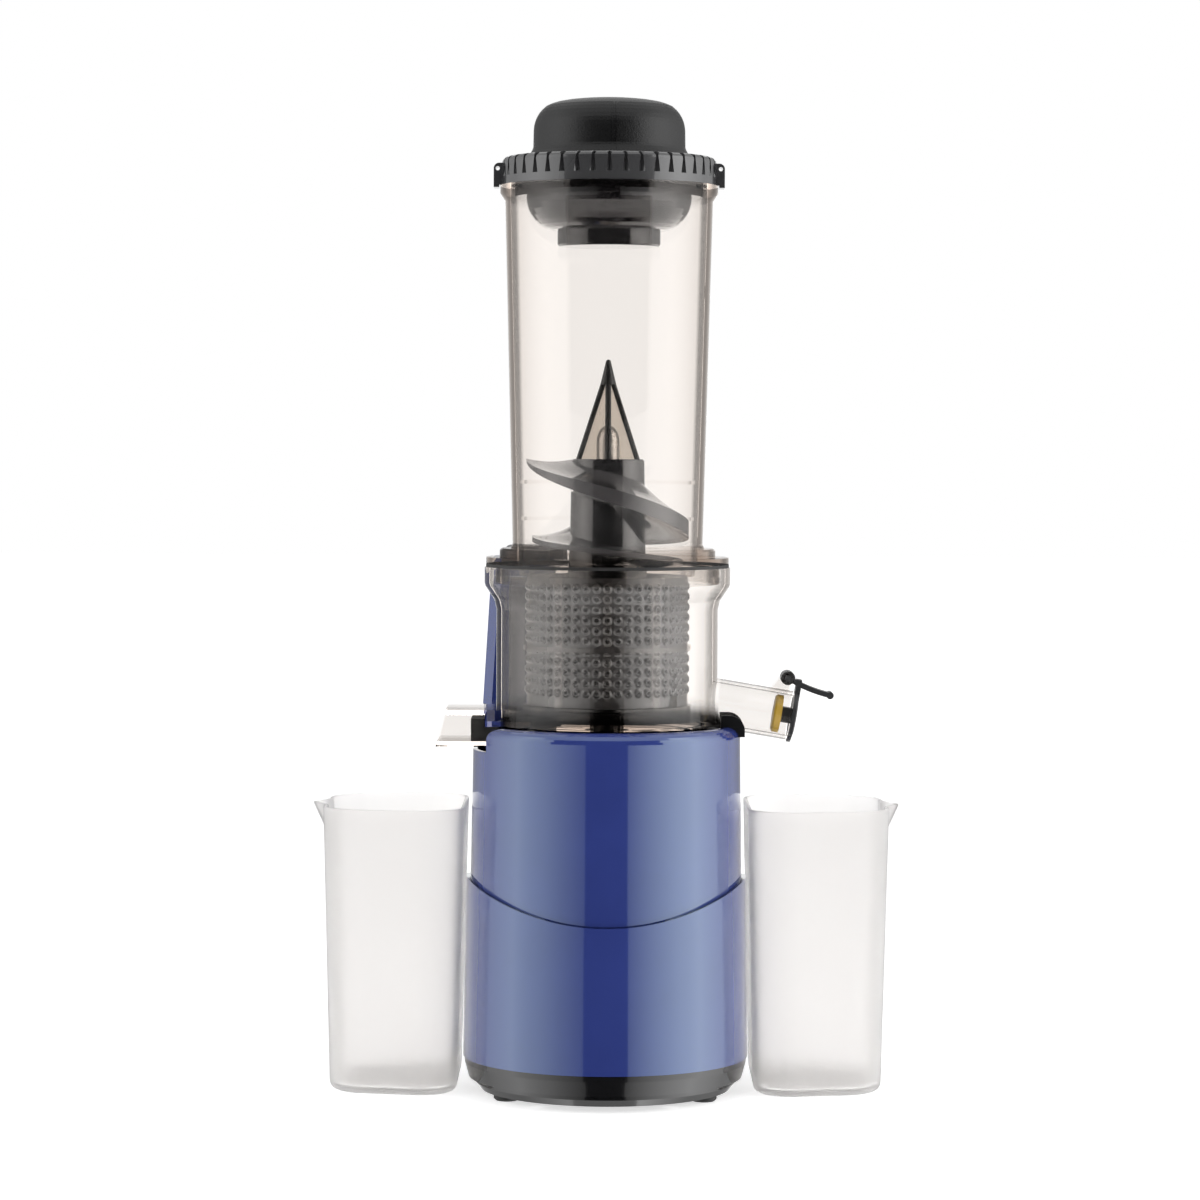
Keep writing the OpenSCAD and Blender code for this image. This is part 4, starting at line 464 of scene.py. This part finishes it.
def flight_grid():
    """Skin of the flight: round its section from root to rim and back, along the turn of the screw. The
    first turn is the wide blade, whose edges sink by given shares of its drop; the rest is an even
    thread."""
    turn = np.linspace(0, 360 * (1 + thread_turns), 520)
    on_blade = np.minimum(turn, 360)
    below = flight_pitch * np.maximum(turn - 360, 0) / 360

    def edge_z(shares, thread_offset):
        blade = hub_top_z - blade_drop * smooth_between(on_blade, quarters, shares)
        thread = hub_top_z - blade_drop * thread_start - below - thread_offset
        return np.where(turn <= 360, blade, thread)

    root_top = edge_z([0, 0.12, 0.27, 0.5, thread_start], 0.0)
    root_low = edge_z([0.36, 0.48, 0.62, 0.84, 0.945], thread_root_h)
    rim_top = edge_z([0, 0.3, 0.69, 0.84, 0.835], thread_rim_drop)
    rim_low = edge_z([0.015, 0.45, 0.86, 0.96, 0.89], thread_rim_drop + thread_rim_h)
    rim = smooth_between(on_blade, quarters, blade_reach * blade_r + (1 - blade_reach) * flight_r)
    out = np.linspace(0, 1, 9)
    bow = flight_bow * np.sin(np.pi * out)
    top_in, low_in = hub_r(root_top) - flight_sink, hub_r(root_low) - flight_sink
    top_r = top_in[:, None] + (rim - top_in)[:, None] * out
    top_z = root_top[:, None] + (rim_top - root_top)[:, None] * out - bow
    low_r = low_in[:, None] + (rim - low_in)[:, None] * out
    low_z = root_low[:, None] + (rim_low - root_low)[:, None] * out + bow * 0.5
    radius = np.concatenate([top_r, low_r[:, ::-1]], 1)
    high = np.concatenate([top_z, low_z[:, ::-1]], 1)
    angle = np.radians(180 + turn)[:, None]
    return np.stack([radius * np.cos(angle), radius * np.sin(angle) + axis_y, high], -1)


def turned(profile):
    """Skin of a piece turned on a lathe: each radius and height of the profile goes round the screw's
    axis."""
    spin = np.linspace(0, 2 * np.pi, 96, endpoint=False)[None, :]
    radius, high = profile[:, :1], profile[:, 1:]
    return np.stack([radius * np.cos(spin), radius * np.sin(spin) + axis_y, high + 0 * spin], -1)


hub_foot = [[hub_bore_r, hub_foot_z], [hub_face_r, hub_foot_z], [hub_edge_r, hub_foot_z + hub_bevel]]
hub_side = [[hub_r(z), z] for z in np.linspace(hub_side_z, hub_top_z - hub_bevel, 12)]
hub_top = [[hub_top_r - hub_bevel, hub_top_z], [0.0, hub_top_z]]
flight = mesh_from_grid("screw_flight", flight_grid(), close_v=True, sharp=40)
hub_points = turned(np.array(hub_foot + hub_side + hub_top))
hub = mesh_from_grid("screw_hub", hub_points, close_v=True, flip=True, sharp=40)
screw_grey = moulded("screw_grey", (0.022, 0.022, 0.024), 0.14, grain=400, depth=0.01, coat=0.9)
flight_grey = moulded("flight_grey", (0.06, 0.059, 0.063), 0.2, grain=500, depth=0.01, coat=0.7)
for piece, skin in ((flight, flight_grey), (hub, screw_grey)):
    piece.data.materials.append(skin)
    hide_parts("auger")
    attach(piece, "auger")
dress(steel, "auger_bush", "auger_shaft_cap")


# Tip: a black frame of four ribs that meet in a round point, moulded onto the top of the screw, with clear
# windows of a smoky brown between the ribs.
tip_foot_r, tip_foot_z, tip_top_z, tip_round = 0.0139, 0.2770, 0.3203, 0.0011
rib_half_w, rib_half_d, rib_square, cap_low_z, cap_overlap = 0.0013, 0.0012, 0.7, 0.3095, 0.002


def tip_rib(turn):
    """Skin of one rib: a rounded bar, outermost on the pyramid's corner, from the screw's top up into the
    point."""
    z = np.linspace(tip_foot_z, cap_low_z + cap_overlap, 14)[:, None]
    around = np.linspace(0, 2 * np.pi, 20, endpoint=False)[None, :]
    out = tip_foot_r * (tip_top_z - z) / (tip_top_z - tip_foot_z) - rib_half_d * (1 - np.cos(around))
    side = rib_half_w * np.sign(np.sin(around)) * np.abs(np.sin(around)) ** rib_square + 0 * z
    x = out * np.cos(turn) - side * np.sin(turn)
    y = out * np.sin(turn) + side * np.cos(turn) + axis_y
    skin = np.stack([x, y, z + 0 * around], -1)
    ends = [np.broadcast_to(skin[k].mean(0), skin[k].shape)[None] for k in (0, -1)]
    return np.concatenate([ends[0], skin, ends[1]])


cap_slope = tip_foot_r / (tip_top_z - tip_foot_z)
cap_foot = [[0.0, cap_low_z], [cap_slope * (tip_top_z - cap_low_z), cap_low_z]]
cap_round = [[tip_round * np.cos(a), tip_top_z - tip_round + tip_round * np.sin(a)]
             for a in np.linspace(np.arctan(cap_slope), np.pi / 2, 8)]
cap_points = turned(np.array(cap_foot + cap_round))
tip_pieces = [mesh_from_grid("tip_point", cap_points, close_v=True, flip=True, sharp=50)]
for k in range(4):
    rib_points = tip_rib(k * np.pi / 2)
    tip_pieces.append(mesh_from_grid("tip_rib_%d" % k, rib_points, close_v=True, flip=True, sharp=50))
tip_black = moulded("tip_black", (0.010, 0.010, 0.010), 0.35, grain=1600, depth=0.2)
for piece in tip_pieces:
    piece.data.materials.append(tip_black)
    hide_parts("auger_tip")
    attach(piece, "auger")
dress(smoked("smoke_tip", (0.52, 0.45, 0.36), 560.0, rough=0.01), "tip_panels")

# Hopper: the lid and the feed tube in one clear smoke moulding. Its lid is thicker than the tube, is
# coloured darker, and turns under the lugs of the bowl's collar.
# Painted shade: the top of the tube's rim, under the pusher's ring, is darkened; below 0.2375 m the lid is
# coloured darker.
tube_tint_and_rim_painted_shade = ((0.0, 0.82), (0.2375, 0.82), (0.239, 1.0), (0.390, 1.0), (0.3915, 0.6))
dress(smoked("smoke_tube", (0.6, 0.5, 0.42), 44.0, painted_edge_shade=0.42, coat=0.35, height_tint_and_painted_shade=tube_tint_and_rim_painted_shade), "hopper")

# Pusher: a matte black knob on a dark grey knurled grip ring, with a glossy grey plunger under it. The ring
# rests on the rim of the tube, and the plunger hangs into it.
dress(moulded("knob_black", (0.006, 0.006, 0.0065), 0.4, grain=1500, depth=0.6, sheen=0.4), "pusher_knob")
dress(moulded("ring_grey", (0.045, 0.045, 0.047), 0.28, grain=1800, depth=0.2, coat=0.9), "pusher_ring")
dress(moulded("plunger_grey", (0.012, 0.0115, 0.0125), 0.12, grain=300, depth=0.01, coat=0.5), "plunger")

# Spout cap: a grained black lever cap that swings on a steel pin at the spout's end, and the yellow
# silicone seal that it presses into the spout.
dress(moulded("cap_black", (0.03, 0.03, 0.031), 0.4, grain=2200, depth=0.4), "spout_cap")
dress(steel, "cap_pin")
dress(moulded("yellow_seal", (0.62, 0.4, 0.05), 0.4, grain=900, depth=0.1), "spout_seal")

# Cups: two frosted polypropylene jugs, moulded with deep round corners, a slight taper and a pouring lip on
# the outer side. They stand free on the table, one under the spout and one under the chute.
cup_w, cup_d, cup_h = 0.0624, 0.092, 0.1246
cup_turn_inner, cup_turn_outer, cup_narrow = 0.019, 0.022, 0.004
cup_draft, cup_wall_t, cup_floor_t, cup_corner, cup_foot_h = 0.003, 0.0018, 0.0026, 0.0036, 0.0008
cup_wall_low_z, cup_floor_top_z, cup_rim_h, cup_rim_round = 0.006, 0.0066, 0.0008, 0.0002
cup_x, cup_y = 0.093, axis_y + 0.027
lip_reach, lip_half, lip_drop = 0.006, 0.013, 0.014


def cup_outline():
    """Plan of the rim and its outward normals: four corner arcs, joined by straight sides that touch
    them."""
    inner = np.array([cup_turn_inner - cup_w / 2, cup_d / 2 - cup_turn_inner])
    outer = np.array([cup_w / 2 - cup_turn_outer, cup_d / 2 - cup_narrow - cup_turn_outer])
    step = inner - outer
    lean = np.arctan2(step[1], step[0]) - np.arccos((cup_turn_outer - cup_turn_inner) / np.hypot(*step))
    arcs = ((outer, cup_turn_outer, 0, lean), (inner, cup_turn_inner, lean, np.pi))
    points, normals = [], []
    for center, radius, start, stop in arcs:
        angle = np.linspace(start, stop, 22)
        normal = np.stack([np.cos(angle), np.sin(angle)], -1)
        points.append(center + radius * normal)
        normals.append(normal)
    half, half_n = np.concatenate(points), np.concatenate(normals)
    mirror = np.array([1, -1])
    return np.concatenate([half, half[::-1] * mirror]), np.concatenate([half_n, half_n[::-1] * mirror])


def with_side_points(ring, ring_n, parts=10, long_side=0.006):
    """The outline with each long straight side cut in equal parts, so that the lip has a fine enough
    wall."""
    share = np.linspace(0, 1, parts, endpoint=False)[:, None]
    following, following_n = np.roll(ring, -1, axis=0), np.roll(ring_n, -1, axis=0)
    rim, rim_n = [], []
    for here, there, here_n, there_n in zip(ring, following, ring_n, following_n):
        cuts = share if np.hypot(*(there - here)) > long_side else share[:1]
        rim.append(here + (there - here) * cuts)
        rim_n.append(here_n + (there_n - here_n) * cuts)
    return np.concatenate(rim), np.concatenate(rim_n)


def cup_profile():
    """Inset from the rim's plan and height, up the outside, over the rounded rim and down the inside:
    quarter circles at the floor, and between them a wall of even thickness that leans out by the draft."""
    bend = np.linspace(0, np.pi / 2, 7)
    corner_in = cup_draft + cup_wall_t
    outside = ([[cup_draft + cup_corner * (1 - np.sin(a)), cup_corner * (1 - np.cos(a))] for a in bend]
               + [[cup_draft * (1 - z / cup_h), z]
                  for z in np.linspace(cup_wall_low_z, cup_h - cup_rim_h, 30)]
               + [[0.0003, cup_h - cup_rim_round], [0.0009, cup_h], [0.0015, cup_h - cup_rim_round]])
    inside = ([[cup_wall_t + cup_draft * (1 - z / cup_h), z]
               for z in np.linspace(cup_h - cup_rim_h, cup_floor_top_z, 30)]
              + [[corner_in + cup_corner * (1 - np.cos(a)), cup_floor_t + cup_corner * (1 - np.sin(a))]
                 for a in bend])
    return np.array(outside + inside)


def cup_mesh(name, side):
    """Skin of a cup: the rim's plan moved inwards along its normals by the profile's inset, at the
    profile's height. The lip moves the outer side out, less with the distance from its middle and from the
    rim."""
    rim, rim_n = with_side_points(*cup_outline())
    inset, high = np.split(cup_profile(), 2, axis=1)
    plan = rim[None] - rim_n[None] * inset[..., None]
    lip_share = 1 - np.abs(plan[..., 1]) / lip_half - (cup_h - high) / lip_drop
    lip = lip_reach * np.clip(lip_share, 0, 1) * (plan[..., 0] > 0)
    plan = plan + np.stack([lip, 0 * lip], -1)
    shrink = np.linspace(0, 0.95, 5)[:, None, None]
    foot_z = cup_foot_h * np.array([1, 1, 1, 0.75, 0])
    under = plan[0] * shrink
    under_z = np.broadcast_to(foot_z[:, None], under.shape[:2])
    floor_in = plan[-1] * shrink[::-1]
    floor_z = np.full(floor_in.shape[:2], cup_floor_t)
    plan = np.concatenate([under, plan, floor_in])
    high = np.concatenate([under_z, np.broadcast_to(high, lip.shape), floor_z])
    points = np.stack([side * (plan[..., 0] + cup_x), plan[..., 1] + cup_y, high], -1)
    return mesh_from_grid(name, points, close_v=True, flip=side > 0)


def frosted(name):
    """Frosted polypropylene: milky, lets most of the light through and scatters it."""
    mat = bpy.data.materials.new(name)
    mat.use_nodes = True
    tree = mat.node_tree
    skin = tree.nodes["Principled BSDF"]
    where = node_of(tree, "ShaderNodeTexCoord")
    cloud = node_of(tree, "ShaderNodeTexNoise", Scale=40.0, Detail=3.0)
    tree.links.new(where.outputs["Object"], cloud.inputs["Vector"])
    milk = blend_of(tree, cloud.outputs["Fac"], (0.93, 0.915, 0.905), (0.965, 0.955, 0.945))
    tree.links.new(milk, skin.inputs["Base Color"])
    skin.inputs["Transmission Weight"].default_value = 0.85
    skin.inputs["IOR"].default_value = 1.15
    skin.inputs["Roughness"].default_value = 0.35
    return mat


frosted_pp = frosted("frosted_pp")
for side, node in ((1, "juice_cup"), (-1, "pulp_cup")):
    cup = cup_mesh(node + "_wall", side)
    cup.data.materials.append(frosted_pp)
    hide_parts(node)
    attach(cup, node)
